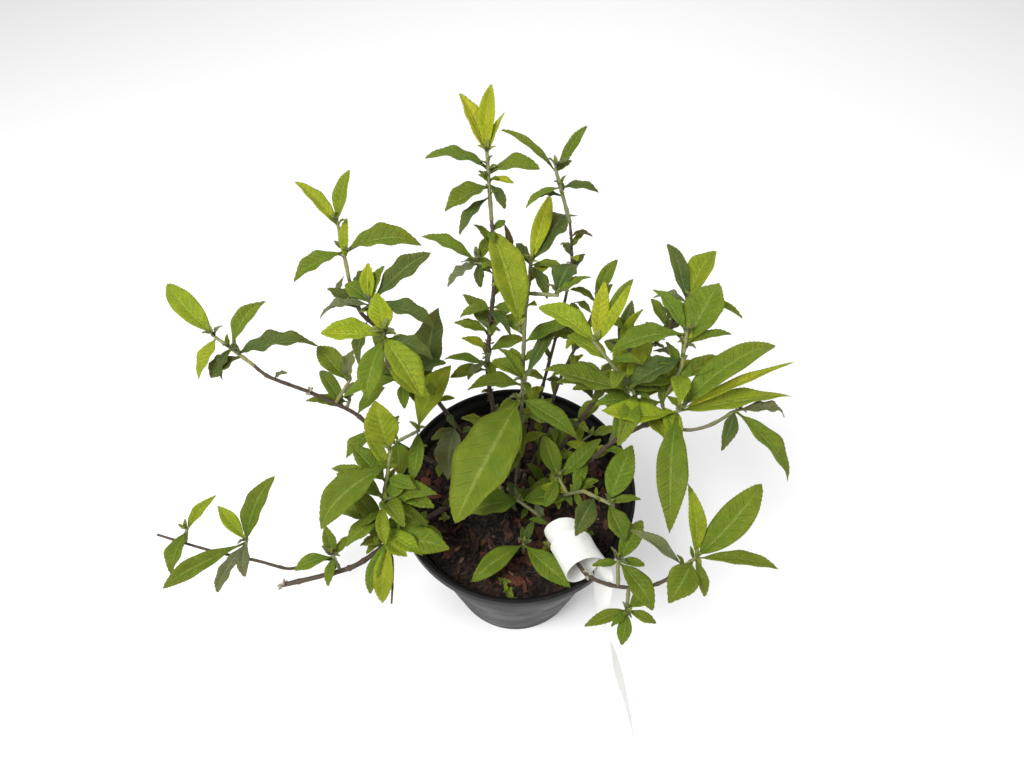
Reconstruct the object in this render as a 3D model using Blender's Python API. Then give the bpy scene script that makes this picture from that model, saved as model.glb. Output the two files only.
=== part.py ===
"""A young butterfly bush in a round nursery pot, with a blank loop label.

Metres, +Z up. The origin is the middle of the pot's flat underside, and +Y points to the back.
The plant is a set of stems that share one crown in the soil, and of leafy shoots on the stems.
Stem and leaf sizes are given in millimetres and degrees, as one would measure them on the plant.
"""
import bpy
import math
from mathutils import Matrix, Vector

MM = 0.001
GAP = 0.0003                 # air between pieces that touch

# Pot: a thin moulded tub with a rolled lip
RIM_RADIUS = 0.085
POT_HEIGHT = 0.158
BASE_RADIUS = 0.0555
WALL = 0.0016
LIP_WIDTH = 0.0030
LIP_HEIGHT = 0.0090
FLOOR = 0.0024
PAD_RADIUS = 0.0250          # flat middle of the underside
FOOT_INNER = 0.0500          # the foot ring runs from here to the base edge
FOOT_RAISE = 0.0030          # the floor between the pad and the foot ring stands this high
DRAIN_HOLES = 8
DRAIN_RADIUS = 0.0050
DRAIN_CIRCLE = 0.0380
ROUND_STEPS = 40

# Potting soil
SOIL_TOP = 0.1400
SOIL_BUMP = 0.0022
SOCKET_DEPTH = 0.0150        # how far a stem reaches into the soil
SOCKET_ABOVE = 0.0060        # its hole is cut up to here, past the highest ground

# Leaf build: where each cross section sits, and how wide the blade is there
SECTIONS = (0.0, 0.16, 0.36, 0.62, 0.86)
BLADE = (0.10, 0.18, 0.88, 0.94, 0.40)
LEAF_THICK = 0.0009
STEM_SIDES = 6
SHOOT_RADIUS = 0.0010

# look of a leaf: colour, how far it arches, how steeply its halves fold up
LOOKS = {
    "gold": ((0.42, 0.52, 0.06), 0.05, 0.45),
    "fresh": ((0.30, 0.45, 0.06), 0.08, 0.25),
    "green": ((0.16, 0.32, 0.06), 0.09, 0.15),
    "dark": ((0.09, 0.19, 0.07), 0.10, 0.20),
    "grey": ((0.30, 0.36, 0.24), 0.12, 0.30),
}

# Stems. "foot" is where one leaves the crown, or the stem that it grows from; "route" follows.
STEMS = {
    "left_high": dict(foot=(-12, 12), radius=(1.9, 1.1), bark="brown", route=[
        (-32, 22, 170), (-52, 34, 208), (-64, 38, 228), (-86, 46, 272), (-94, 47, 286),
        (-101, 63, 298)]),
    "left_far": dict(foot=(-15, 2), radius=(1.7, 1.0), bark="brown", route=[
        (-55, 6, 176), (-90, 12, 203), (-107, 20, 218), (-133, 24, 236), (-154, 25, 250),
        (-163, 29, 257)]),
    "left_low": dict(foot=(-9, -6), radius=(1.9, 1.5), bark="brown", route=[
        (-38, -11, 153), (-72, -38, 166), (-97, -61, 170), (-113, -68, 168), (-150, -74, 160)]),
    "left_trailing": dict(foot="left_low", radius=(1.2, 0.8), bark="brown", route=[
        (-118, -62, 172), (-128, -62, 171), (-145, -66, 167), (-167, -60, 164), (-203, -51, 160),
        (-246, -37, 154)]),
    "left_side": dict(foot="left_low", radius=(1.2, 0.9), bark="green", route=[
        (-84, -50, 176), (-84, -52, 190), (-82, -40, 210), (-78, -32, 226)]),
    "left_twig": dict(foot="left_low", radius=(0.8, 0.6), bark="brown", route=[
        (-80, -60, 171), (-78, -75, 171), (-78, -88, 166)]),
    "left_inner": dict(foot="left_high", radius=(1.2, 0.9), bark="green", route=[
        (-70, 30, 235), (-76, 18, 268), (-71, 5, 308)]),
    "tall": dict(foot=(-4, 20), radius=(1.9, 1.0), bark="brown", route=[
        (-12, 30, 180), (-19, 43, 225), (-17, 58, 262), (-14, 66, 290), (-14, 74, 314),
        (-15, 82, 327)]),
    "centre": dict(foot=(0, 8), radius=(1.4, 0.9), bark="green", route=[
        (3, 20, 200), (4, 34, 245), (5, 48, 282), (8, 67, 298)]),
    "back": dict(foot=(4, 26), radius=(1.4, 0.8), bark="brown", route=[
        (14, 40, 190), (20, 51, 218), (28, 62, 262), (33, 72, 300), (31, 83, 324)]),
    "back_right": dict(foot=(12, 14), radius=(1.4, 0.8), bark="brown", route=[
        (23, 38, 194), (33, 46, 236), (42, 49, 264), (47, 51, 283)]),
    "right": dict(foot=(16, 2), radius=(1.9, 1.2), bark="brown", route=[
        (30, 0, 165), (45, -3, 190), (62, -3, 220), (78, -7, 246), (89, -11, 262)]),
    "right_high": dict(foot=(17, 10), radius=(1.7, 0.9), bark="brown", route=[
        (36, 24, 180), (53, 34, 212), (67, 42, 231), (79, 43, 250), (90, 46, 263), (101, 50, 285)]),
    "right_inner": dict(foot="right", radius=(1.0, 0.8), bark="green", route=[
        (72, 0, 256), (66, 1, 270), (46, 8, 296)]),
    "right_up": dict(foot="right", radius=(1.0, 0.8), bark="green", route=[
        (85, -2, 262), (90, 3, 274), (93, 7, 283)]),
    "right_tip": dict(foot="right", radius=(1.0, 0.8), bark="green", route=[
        (88, -15, 255), (100, -18, 256), (113, -15, 258), (123, -10, 261)]),
    "front_right": dict(foot=(6, -8), radius=(1.5, 1.0), bark="brown", route=[
        (13, -20, 156), (22, -38, 170), (34, -61, 180), (43, -77, 185), (58, -85, 189),
        (74, -88, 195), (84, -88, 205), (90, -86, 214)]),
    "pot_right": dict(foot=(14, -6), radius=(1.3, 0.9), bark="green", route=[
        (32, -20, 180), (42, -31, 206)]),
}

# Shoots. Each is a green growing tip on a stem, with its leaves around one node.
# A leaf is (heading, rise, length, width, look). Heading 0 is to the right and 90 to the back,
# and rise is how far its tip stands above level, both in degrees. A sixth number is how far
# below the node the leaf starts, and a seventh replaces the usual arch of its midrib.
SHOOTS = {
    "left_high_tip": dict(stem="left_high", node=(-108, 90, 318), leaves=[
        (140, 25, 38, 9, "gold", 3), (75, 35, 33, 9, "fresh"), (10, 3, 47, 16, "green", 18),
        (215, -5, 34, 12, "green", 18), (85, 40, 25, 6, "gold", 23)]),
    "left_far_tip": dict(stem="left_far", node=(-187, 43, 268), leaves=[
        (136, 15, 51, 14, "fresh"), (255, -20, 28, 10, "gold", 1), (55, 30, 36, 11, "green", 13),
        (9, 5, 49, 15, "dark", 17), (210, -15, 23, 12, "dark", 20), (258, -20, 20, 7, "dark", 12)]),
    "left_far_side": dict(stem="left_far", node=(-111, 27, 221), leaves=[
        (183, 8, 28, 8, "green"), (80, 30, 14, 6, "grey")]),
    "left_high_side": dict(stem="left_high", node=(-85, 41, 298), leaves=[
        (40, 20, 47, 13, "dark"), (347, -10, 40, 12, "dark"), (144, 20, 20, 12, "green"),
        (92, 45, 24, 8, "gold"), (193, 0, 30, 7, "grey"), (65, 40, 24, 6, "green")]),
    "left_inner_tip": dict(stem="left_inner", node=(-70, 2, 316), leaves=[
        (182, 5, 32, 13, "gold", 1), (304, -15, 40, 15, "fresh", 2), (100, 50, 22, 12, "gold"),
        (350, -20, 28, 9, "dark", 5), (256, -20, 34, 13, "green", 4)]),
    "left_far_upper": dict(stem="left_far", node=(-109, 32, 236), leaves=[
        (135, 25, 32, 14, "green"), (80, 30, 22, 9, "grey")]),
    "left_high_lower": dict(stem="left_high", node=(-61, 33, 230), leaves=[
        (80, 30, 55, 20, "dark"), (330, 0, 14, 5, "grey")]),
    "left_side_tip": dict(stem="left_side", node=(-75, -24, 240), leaves=[
        (110, 50, 33, 19, "fresh"), (222, -10, 53, 20, "green", 8), (128, 35, 28, 7, "fresh", 12)]),
    "left_side_middle": dict(stem="left_side", node=(-80, -42, 215), leaves=[
        (155, 15, 34, 11, "green"), (5, 10, 32, 13, "green"), (35, 30, 22, 10, "green"),
        (337, -20, 31, 6, "green")]),
    "left_side_lower": dict(stem="left_side", node=(-79, -55, 190), leaves=[
        (246, -30, 37, 8, "green"), (262, -35, 41, 12, "fresh"), (60, 40, 20, 9, "green"),
        (195, 0, 19, 8, "green"), (350, 0, 38, 16, "green")]),
    "tall_tip": dict(stem="tall", node=(-17, 101, 356), leaves=[
        (120, 35, 38, 10, "gold"), (85, 42, 39, 9, "gold"), (190, 20, 36, 12, "green", 6),
        (212, -10, 30, 14, "green", 16), (230, -20, 29, 7, "dark", 22), (350, 15, 30, 12, "green", 9),
        (55, 45, 25, 4, "gold"), (335, 5, 16, 5, "gold", 12), (310, -30, 17, 6, "dark", 15)]),
    "back_tip": dict(stem="back", node=(22, 93, 351), leaves=[
        (149, 25, 39, 5, "green"), (50, 36, 31, 6, "green"), (40, 15, 12, 5, "green"),
        (357, 0, 22, 6, "dark", 9), (217, -5, 25, 6, "green", 9), (182, -3, 18, 6, "dark", 14)]),
    "centre_tip": dict(stem="centre", node=(8, 70, 302), leaves=[
        (72, 30, 46, 10, "gold"), (50, 18, 48, 20, "dark"), (115, 10, 20, 6, "dark"),
        (351, 0, 21, 6, "green"), (299, -20, 23, 7, "dark")]),
    "tall_upper": dict(stem="tall", node=(-23, 73, 301), leaves=[
        (157, 15, 39, 10, "green"), (57, 30, 21, 7, "green"), (213, -15, 24, 7, "grey"),
        (275, -25, 15, 6, "dark")]),
    "centre_upper": dict(stem="centre", node=(2, 30, 290), leaves=[
        (110, 35, 59, 20, "fresh")]),
    "tall_middle": dict(stem="tall", node=(-17, 54, 260), leaves=[
        (129, 25, 31, 12, "green"), (167, 10, 24, 8, "green"), (44, 20, 22, 8, "green")]),
    "tall_lower": dict(stem="tall", node=(-20, 45, 239), leaves=[
        (173, 5, 28, 8, "green"), (218, -10, 16, 5, "grey"), (340, 0, 15, 5, "green")]),
    "centre_middle": dict(stem="centre", node=(5, 24, 249), leaves=[
        (150, 14, 24, 9, "green"), (135, 28, 26, 8, "green"), (55, 30, 40, 8, "dark")]),
    "right_inner_tip": dict(stem="right_inner", node=(43, 9, 300), leaves=[
        (147, 15, 38, 13, "fresh"), (80, 35, 35, 9, "gold"), (50, 40, 37, 6, "gold"),
        (58, 25, 45, 7, "green")]),
    "right_inner_leaf": dict(stem="right_inner", node=(63, -3, 275), leaves=[
        (168, 10, 50, 19, "green", 0, -0.07)]),
    "centre_side": dict(stem="centre", node=(22, 45, 302), leaves=[
        (67, 9, 26, 15, "dark"), (25, 15, 24, 6, "green")]),
    "back_right_tip": dict(stem="back_right", node=(48, 53, 287), leaves=[
        (60, 35, 30, 8, "green"), (160, 25, 18, 5, "green")]),
    "right_high_tip": dict(stem="right_high", node=(102, 52, 289), leaves=[
        (105, 30, 39, 9, "dark"), (56, 25, 38, 15, "fresh"), (169, 5, 20, 7, "grey"),
        (341, 0, 34, 5, "green"), (216, -19, 16, 7, "dark")]),
    "right_up_tip": dict(stem="right_up", node=(94, 17, 299), leaves=[
        (57, 30, 43, 21, "green", 8), (204, -15, 38, 14, "dark", 14), (75, 45, 18, 5, "gold", 12),
        (11, 10, 27, 5, "green", 6), (192, -4, 44, 13, "green"), (125, 25, 32, 11, "green")]),
    "right_high_side": dict(stem="right_high", node=(63, 38, 262), leaves=[
        (71, 30, 33, 9, "dark"), (45, 45, 29, 6, "gold")]),
    "right_tip_main": dict(stem="right", node=(91, -12, 266), leaves=[
        (30, 20, 70, 15, "green"), (20, 10, 75, 6, "gold"), (9, 2, 69, 14, "fresh", 0, -0.02),
        (263, -20, 68, 17, "green"), (183, 8, 44, 14, "fresh", 0, -0.03)]),
    "right_tip_outer": dict(stem="right_tip", node=(126, -9, 262), leaves=[
        (5, -8, 34, 7, "grey"), (306, -15, 48, 14, "green"), (245, -15, 25, 8, "dark")]),
    "centre_great_leaf": dict(stem="centre", node=(2, 21, 233), leaves=[
        (242, -15, 88, 36, "green"), (325, -5, 45, 13, "green")]),
    "pot_right_side": dict(stem="pot_right", node=(28, -13, 190), leaves=[
        (40, 20, 39, 11, "green"), (242, -15, 21, 8, "green"), (110, 25, 30, 13, "green")]),
    "crown_middle": dict(stem="front_right", node=(2, -24, 178), leaves=[
        (193, 0, 34, 19, "green"), (1, 5, 30, 16, "green"), (121, 10, 16, 7, "dark")]),
    "crown_left": dict(stem="left_far", node=(-63, 2, 224), leaves=[
        (62, 25, 48, 17, "fresh"), (268, -12, 33, 10, "green"), (280, -5, 24, 15, "green", 34)]),
    "pot_right_tip": dict(stem="pot_right", node=(54, -46, 220), leaves=[
        (63, 25, 38, 16, "green"), (295, -19, 24, 13, "green"), (240, -10, 27, 13, "dark", 12),
        (5, 5, 20, 5, "green")]),
    "front_right_side": dict(stem="front_right", node=(60, -74, 199), leaves=[
        (55, 20, 29, 11, "green"), (190, 5, 16, 5, "green"), (353, 0, 16, 5, "green"),
        (305, -8, 33, 13, "green")]),
    "front_seedling": dict(stem=None, node=(5, -45, 156), leaves=[
        (217, 5, 43, 13, "green"), (316, 5, 42, 15, "green"), (98, 30, 12, 5, "dark"),
        (64, 30, 17, 5, "dark")]),
    "front_right_tip": dict(stem="front_right", node=(98, -83, 226), leaves=[
        (97, 40, 42, 9, "fresh"), (42, 25, 56, 17, "green"), (352, 5, 45, 8, "green"),
        (145, 15, 35, 7, "grey", 9), (235, -10, 27, 16, "green", 2), (285, -25, 21, 6, "green")]),
    "front_right_lower": dict(stem="front_right", node=(64, -99, 189), leaves=[
        (200, 0, 27, 7, "green"), (225, 10, 15, 4, "green"), (335, 0, 18, 6, "green"),
        (258, -20, 20, 8, "green"), (35, 0, 20, 10, "green")]),
    "left_trailing_side": dict(stem="left_trailing", node=(-178, -48, 167), leaves=[
        (67, 30, 46, 14, "green"), (135, 25, 31, 9, "fresh"), (212, 0, 56, 12, "green"),
        (239, -20, 36, 8, "grey"), (270, -20, 22, 8, "grey")]),
    "left_trailing_tip": dict(stem="left_trailing", node=(-222, -38, 163), leaves=[
        (47, 25, 30, 8, "fresh"), (261, -12, 30, 12, "green")]),
    "left_low_side": dict(stem="left_low", node=(-116, -62, 177), leaves=[
        (111, 30, 20, 8, "green"), (52, 14, 17, 6, "green"), (199, 0, 25, 9, "green"),
        (263, -15, 18, 6, "green")]),
}

# Label: a blank plastic strip that coils round the front stem, with its tail hanging outside
LABEL_WIDTH = 0.024
LABEL_THICK = 0.0006
COIL_CENTRE = (0.0365, -0.060, 0.181)
COIL_AXIS = (0.34, -0.88, 0.34)
COIL_RADII = (0.0110, 0.0136)        # inside turn and outside turn
COIL_SHIFT = (-0.011, 0.010)         # the coil also walks forward along its axis
COIL_ANGLES = (562, 18)              # from the inner end round to where the tail leaves
# The tail: where its middle line runs, and which way its width points there
TAIL = [((54, -68, 180), (0.34, -0.88, 0.34)), ((54, -75, 174), (0.33, -0.80, 0.50)),
        ((53, -85, 168), (0.30, -0.62, 0.72)), ((52, -95, 163), (0.15, -0.55, 0.83)),
        ((57, -106, 151), (-0.05, -0.55, 0.83)), ((63, -116, 134), (-0.30, -0.62, 0.72)),
        ((70, -127, 112), (-0.25, -0.65, 0.72)), ((77, -142, 86), (-0.20, -0.66, 0.72)),
        ((84, -161, 56), (-0.14, -0.67, 0.72))]
TAIL_NARROWS = 21            # the strip gets narrower over this many stations before its end
TAIL_END_WIDTH = 0.010


def clear_scene():
    for thing in list(bpy.data.objects):
        bpy.data.objects.remove(thing, do_unlink=True)


def material(name, colour, roughness, metallic=0.0):
    made = bpy.data.materials.new(name)
    made.use_nodes = True
    shader = made.node_tree.nodes["Principled BSDF"]
    shader.inputs["Base Color"].default_value = (*colour, 1.0)
    shader.inputs["Roughness"].default_value = roughness
    shader.inputs["Metallic"].default_value = metallic
    return made


def add_object(name, vertices, faces, surface, smooth=True):
    mesh = bpy.data.meshes.new(name)
    mesh.from_pydata([tuple(v) for v in vertices], [], faces)
    mesh.materials.append(surface)
    if smooth:
        mesh.shade_smooth()
        mesh.set_sharp_from_angle(angle=math.radians(35))
    made = bpy.data.objects.new(name, mesh)
    bpy.context.scene.collection.objects.link(made)
    return made


def hide_as_cutter(thing):
    thing.hide_render = True
    thing.display_type = "WIRE"


def combine(target, others, operation):
    """Unite others with target, or cut them out of it, and keep them as hidden guides."""
    group = bpy.data.collections.new(target.name + "_guides")
    bpy.context.scene.collection.children.link(group)
    for other in others:
        bpy.context.scene.collection.objects.unlink(other)
        group.objects.link(other)
        hide_as_cutter(other)
    step = target.modifiers.new(operation.title(), "BOOLEAN")
    step.operation = operation
    step.solver = "EXACT"
    step.operand_type = "COLLECTION"
    step.collection = group


def lathe(profile, steps):
    """Turn a closed profile of (radius, height) corners; a corner at radius 0 is a single point."""
    vertices = []
    rings = []
    for radius, height in profile:
        if radius == 0:
            rings.append([len(vertices)] * steps)
            vertices.append((0, 0, height))
            continue
        rings.append(list(range(len(vertices), len(vertices) + steps)))
        for step in range(steps):
            angle = 2 * math.pi * step / steps
            vertices.append((radius * math.cos(angle), radius * math.sin(angle), height))
    faces = []
    for lower, upper in zip(rings, rings[1:]):
        for step in range(steps):
            after = (step + 1) % steps
            corners = [lower[step], lower[after], upper[after], upper[step]]
            faces.append(tuple(dict.fromkeys(corners)))
    return vertices, [face for face in faces if len(face) > 2]


def wall_radius(height):
    """Outside radius of the pot's tapered wall at a height."""
    neck = RIM_RADIUS - LIP_WIDTH
    return BASE_RADIUS + (neck - BASE_RADIUS) * height / POT_HEIGHT


def build_pot():
    neck_height = POT_HEIGHT - LIP_HEIGHT
    shoulder = neck_height + WALL / 2
    profile = [
        (0, 0), (PAD_RADIUS, 0), (PAD_RADIUS + 0.002, FOOT_RAISE), (FOOT_INNER - 0.002, FOOT_RAISE),
        (FOOT_INNER, 0), (BASE_RADIUS - 0.001, 0), (BASE_RADIUS, 0.001),
        (wall_radius(neck_height), neck_height), (RIM_RADIUS - 0.0005, neck_height),
        (RIM_RADIUS, neck_height + 0.0005), (RIM_RADIUS, POT_HEIGHT - 0.0008),
        (RIM_RADIUS - 0.0008, POT_HEIGHT), (RIM_RADIUS - WALL, POT_HEIGHT),
        (RIM_RADIUS - WALL - 0.0008, POT_HEIGHT - 0.0008),
        (RIM_RADIUS - WALL - 0.0008, neck_height + 2 * WALL),
        (wall_radius(shoulder) - WALL, shoulder),
        (wall_radius(FOOT_RAISE + FLOOR) - WALL, FOOT_RAISE + FLOOR),
        (0, FOOT_RAISE + FLOOR)]
    surface = material("pot_plastic", (0.035, 0.036, 0.038), 0.5)
    pot = add_object("pot", *lathe(profile, ROUND_STEPS), surface)
    drill = [(0, -0.001), (DRAIN_RADIUS, -0.001), (DRAIN_RADIUS, 0.009), (0, 0.009)]
    drills = []
    for hole in range(DRAIN_HOLES):
        angle = 2 * math.pi * (hole + 0.5) / DRAIN_HOLES
        cutter = add_object("drain_drill", *lathe(drill, 14), surface)
        cutter.location = (DRAIN_CIRCLE * math.cos(angle), DRAIN_CIRCLE * math.sin(angle), 0)
        drills.append(cutter)
    combine(pot, drills, "DIFFERENCE")
    return pot


def soil_height(x, y):
    """The soil's top: low uneven ground that rises a little at the crown."""
    bumps = math.sin(x * 190 + 0.6) * math.cos(y * 160 - 0.4) + 0.5 * math.sin(x * 90 - y * 130)
    crown = 0.0025 * math.exp(-(x * x + (y - 0.008) ** 2) / 0.0009)
    return SOIL_TOP + SOIL_BUMP * 0.5 * bumps + crown


def build_soil(sockets):
    rings = 5
    top_radius = wall_radius(SOIL_TOP) - WALL - GAP
    floor_height = FOOT_RAISE + FLOOR + GAP
    floor_radius = wall_radius(floor_height) - WALL - GAP
    low_edge = SOIL_TOP - 2 * SOIL_BUMP
    edge_radius = wall_radius(low_edge) - WALL - GAP
    profile = [(0, floor_height), (floor_radius, floor_height), (edge_radius, low_edge)]
    profile += [(top_radius * (rings - ring) / rings, SOIL_TOP) for ring in range(rings)]
    profile.append((0, SOIL_TOP))
    vertices, faces = lathe(profile, ROUND_STEPS)
    shaped = [(x, y, soil_height(x, y)) if z == SOIL_TOP else (x, y, z) for x, y, z in vertices]
    soil = add_object("potting_soil", shaped, faces, material("soil", (0.035, 0.02, 0.014), 0.95))
    combine(soil, sockets, "DIFFERENCE")
    return soil


def smooth_route(points, per_span=2):
    """Points on a Catmull-Rom curve through the given ones."""
    ends = [points[0] * 2 - points[1]] + points + [points[-1] * 2 - points[-2]]
    curve = []
    for before, start, stop, after in zip(ends, ends[1:], ends[2:], ends[3:]):
        for step in range(per_span):
            t = step / per_span
            curve.append(0.5 * (2 * start + (stop - before) * t
                                + (2 * before - 5 * start + 4 * stop - after) * t ** 2
                                + (3 * start - 3 * stop + after - before) * t ** 3))
    return curve + [points[-1]]


def tube(route, radii, sides=STEM_SIDES):
    """A round stem along a route, with flat ends."""
    vertices = []
    side_way = None
    for index, point in enumerate(route):
        ahead = route[min(index + 1, len(route) - 1)] - route[max(index - 1, 0)]
        ahead.normalize()
        if side_way is None:
            side_way = ahead.orthogonal()
        side_way = (side_way - ahead * side_way.dot(ahead)).normalized()
        other_way = ahead.cross(side_way)
        radius = radii[0] + (radii[1] - radii[0]) * index / (len(route) - 1)
        for side in range(sides):
            angle = 2 * math.pi * side / sides
            vertices.append(point + (side_way * math.cos(angle) + other_way * math.sin(angle)) * radius)
    faces = [tuple(range(sides))[::-1]]
    for ring in range(len(route) - 1):
        for side in range(sides):
            after = (side + 1) % sides
            low = ring * sides
            faces.append((low + side, low + after, low + sides + after, low + sides + side))
    top = (len(route) - 1) * sides
    faces.append(tuple(range(top, top + sides)))
    return vertices, faces


def nearest_on(route, point):
    """The spot on a route nearest to a point, with how far along the route it is, 0 to 1."""
    best = None
    for index, (start, stop) in enumerate(zip(route, route[1:])):
        span = stop - start
        along = max(0.0, min(1.0, (point - start).dot(span) / span.length_squared))
        spot = start + span * along
        if best is None or (spot - point).length < best[0]:
            best = ((spot - point).length, spot, (index + along) / (len(route) - 1))
    return best[1], best[2]


def start_beside(stem, point, own_radius):
    """Where a side branch starts: just clear of its stem's bark, towards the branch's next point."""
    spot, along = nearest_on(stem["curve"], point)
    thick, thin = stem["radii"]
    stem_radius = thick + (thin - thick) * along
    outward = (point - spot).normalized()
    clear = stem_radius if along < 1 else 0
    return spot + outward * (clear + GAP + 0.4 * own_radius)


def lay_stems():
    """Each stem's smooth route and radii, in metres."""
    laid = {}
    for name, row in STEMS.items():
        points = [Vector(point) * MM for point in row["route"]]
        radii = tuple(radius * MM for radius in row["radius"])
        if isinstance(row["foot"], str):
            points.insert(0, start_beside(laid[row["foot"]], points[0], radii[0]))
        else:
            x, y = (value * MM for value in row["foot"])
            points.insert(0, Vector((x, y, SOIL_TOP - SOCKET_DEPTH)))
            points.insert(1, Vector((x, y, SOIL_TOP + 0.002)))
        laid[name] = dict(curve=smooth_route(points), radii=radii, bark=row["bark"])
    return laid


def build_stems(laid):
    barks = {"brown": material("bark", (0.16, 0.11, 0.075), 0.85),
             "green": material("green_stem", (0.38, 0.42, 0.16), 0.6)}
    for name, stem in laid.items():
        add_object("stem_" + name, *tube(stem["curve"], stem["radii"]), barks[stem["bark"]])


def socket_cutters(laid, surface):
    """One hole in the soil for each stem that stands in it, which follows the stem's own bend."""
    cutters = []
    for name, row in STEMS.items():
        if isinstance(row["foot"], str):
            continue
        curve = laid[name]["curve"]
        inside = [point for point in curve if point.z < SOIL_TOP + SOCKET_ABOVE]
        inside.append(curve[len(inside)])
        inside[0] = inside[0] - Vector((0, 0, GAP))
        radius = laid[name]["radii"][0] + 1.5 * GAP
        cutters.append(add_object("socket_" + name, *tube(inside, (radius, radius)), surface))
    return cutters


def leaf(base, heading, rise, length, width, look, arch=None):
    """A thin blade: a diamond section that follows an arched midrib from its base to its tip."""
    usual_arch, fold = LOOKS[look][1:]
    arch = usual_arch if arch is None else arch
    turn = Matrix.Rotation(math.radians(heading), 3, "Z") @ Matrix.Rotation(math.radians(-rise), 3, "Y")
    along = turn @ Vector((1, 0, 0))
    across = turn @ Vector((0, 1, 0))
    up = turn @ Vector((0, 0, 1))
    length *= MM
    half = width * MM / 2
    vertices = []
    for where, share in zip(SECTIONS, BLADE):
        middle = base + along * length * where + up * (arch * length * 4 * where * (1 - where))
        edge = half * share
        lift = up * edge * fold
        vertices += [middle - across * edge + lift, middle - up * LEAF_THICK / 2,
                     middle + across * edge + lift, middle + up * LEAF_THICK / 2]
    vertices.append(base + along * length)
    faces = [(0, 3, 2, 1)]
    for section in range(len(SECTIONS) - 1):
        low = section * 4
        for side in range(4):
            after = (side + 1) % 4
            faces.append((low + side, low + after, low + 4 + after, low + 4 + side))
    last = (len(SECTIONS) - 1) * 4
    tip = len(vertices) - 1
    faces += [(last + side, last + (side + 1) % 4, tip) for side in range(4)]
    return vertices, faces


def shoot_axis(name, row, laid):
    """The shoot's short green stem, from its parent stem (or the soil) to just past its node."""
    node = Vector(row["node"]) * MM
    if row["stem"] is None:
        x, y = node.x, node.y
        start = Vector((x, y, SOIL_TOP + SOIL_BUMP + 0.001))
    else:
        start = start_beside(laid[row["stem"]], node, SHOOT_RADIUS)
    past = node + (node - start).normalized() * 0.0025
    return [start, start.lerp(node, 0.5), node, past]


def build_shoots(laid):
    greens = {look: material("leaf_" + look, values[0], 0.55) for look, values in LOOKS.items()}
    for name, row in SHOOTS.items():
        base = Vector(row["node"]) * MM
        surface = greens[row["leaves"][0][4]]
        axis = shoot_axis(name, row, laid)
        shoot = add_object("shoot_" + name, *tube(axis, (SHOOT_RADIUS, SHOOT_RADIUS * 0.8)), surface)
        down = (axis[0] - base).normalized()
        blades = []
        for number, (heading, rise, length, width, look, *extra) in enumerate(row["leaves"], 1):
            drop = min(extra[0] * MM, (axis[0] - base).length - SHOOT_RADIUS) if extra else 0
            arch = extra[1] if len(extra) > 1 else None
            shape = leaf(base + down * drop, heading, rise, length, width, look, arch)
            blades.append(add_object(name + "_leaf_" + str(number), *shape, greens[look]))
        combine(shoot, blades, "UNION")


def coil_stations():
    """Middle points and width directions round the label's coil, from its inner end."""
    axis = Vector(COIL_AXIS).normalized()
    sideways = (Vector((1, 0, 0)) - axis * axis.x).normalized()
    upright = sideways.cross(axis).normalized()
    if upright.z < 0:
        upright = -upright
    steps = 34
    stations = []
    for step in range(steps + 1):
        share = step / steps
        angle = math.radians(COIL_ANGLES[0] + (COIL_ANGLES[1] - COIL_ANGLES[0]) * share)
        radius = COIL_RADII[0] + (COIL_RADII[1] - COIL_RADII[0]) * share
        shift = COIL_SHIFT[0] + (COIL_SHIFT[1] - COIL_SHIFT[0]) * share
        round_way = sideways * math.cos(angle) + upright * math.sin(angle)
        stations.append((Vector(COIL_CENTRE) + axis * shift + round_way * radius, axis))
    return stations


def tail_stations(coil):
    """The tail's middle points and width directions, smoothed from the coil's last station."""
    points = [coil[-1][0]] + [Vector(point) * MM for point, _ in TAIL]
    ways = [coil[-1][1]] + [Vector(way) for _, way in TAIL]
    middles = smooth_route(points, 3)
    turned = smooth_route(ways, 3)
    return [(middle, way.normalized()) for middle, way in zip(middles[1:], turned[1:])]


def build_label():
    coil = coil_stations()
    tail = tail_stations(coil)
    stations = coil + tail
    vertices = []
    for index, (middle, way) in enumerate(stations):
        ahead = stations[min(index + 1, len(stations) - 1)][0] - stations[max(index - 1, 0)][0]
        across = (way - ahead * way.dot(ahead) / ahead.length_squared).normalized()
        out = ahead.cross(across).normalized() * LABEL_THICK / 2
        share = max(0, (index + 1 - len(stations) + TAIL_NARROWS) / TAIL_NARROWS)
        half = across * (LABEL_WIDTH + (TAIL_END_WIDTH - LABEL_WIDTH) * share) / 2
        vertices += [middle - half - out, middle + half - out, middle + half + out,
                     middle - half + out]
    faces = [(3, 2, 1, 0)]
    for station in range(len(stations) - 1):
        low = station * 4
        for side in range(4):
            after = (side + 1) % 4
            a, b, c, d = low + side, low + after, low + 4 + after, low + 4 + side
            # the two broad faces are split along the same diagonal, so that a twist keeps them apart
            faces += [(a, b, c), (a, c, d)] if side < 2 else [(a, b, d), (b, c, d)]
    last = (len(stations) - 1) * 4
    faces.append((last, last + 1, last + 2, last + 3))
    add_object("plant_label", vertices, faces, material("label_plastic", (0.85, 0.85, 0.83), 0.4))


def main():
    clear_scene()
    laid = lay_stems()
    build_pot()
    build_stems(laid)
    build_soil(socket_cutters(laid, material("socket", (0.1, 0.1, 0.1), 0.9)))
    build_shoots(laid)
    build_label()


main()
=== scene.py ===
"""Looks of a young butterfly bush in a round nursery pot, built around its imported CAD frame.

Every stem, leaf, clod and bark chip is modelled here on the places that the CAD part gives it.
Metres, +Z up; the plant's own sizes are in millimetres and degrees, as in the part.
"""

import math
import random

import bmesh
import bpy
from mathutils import Matrix, Vector, noise


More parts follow.
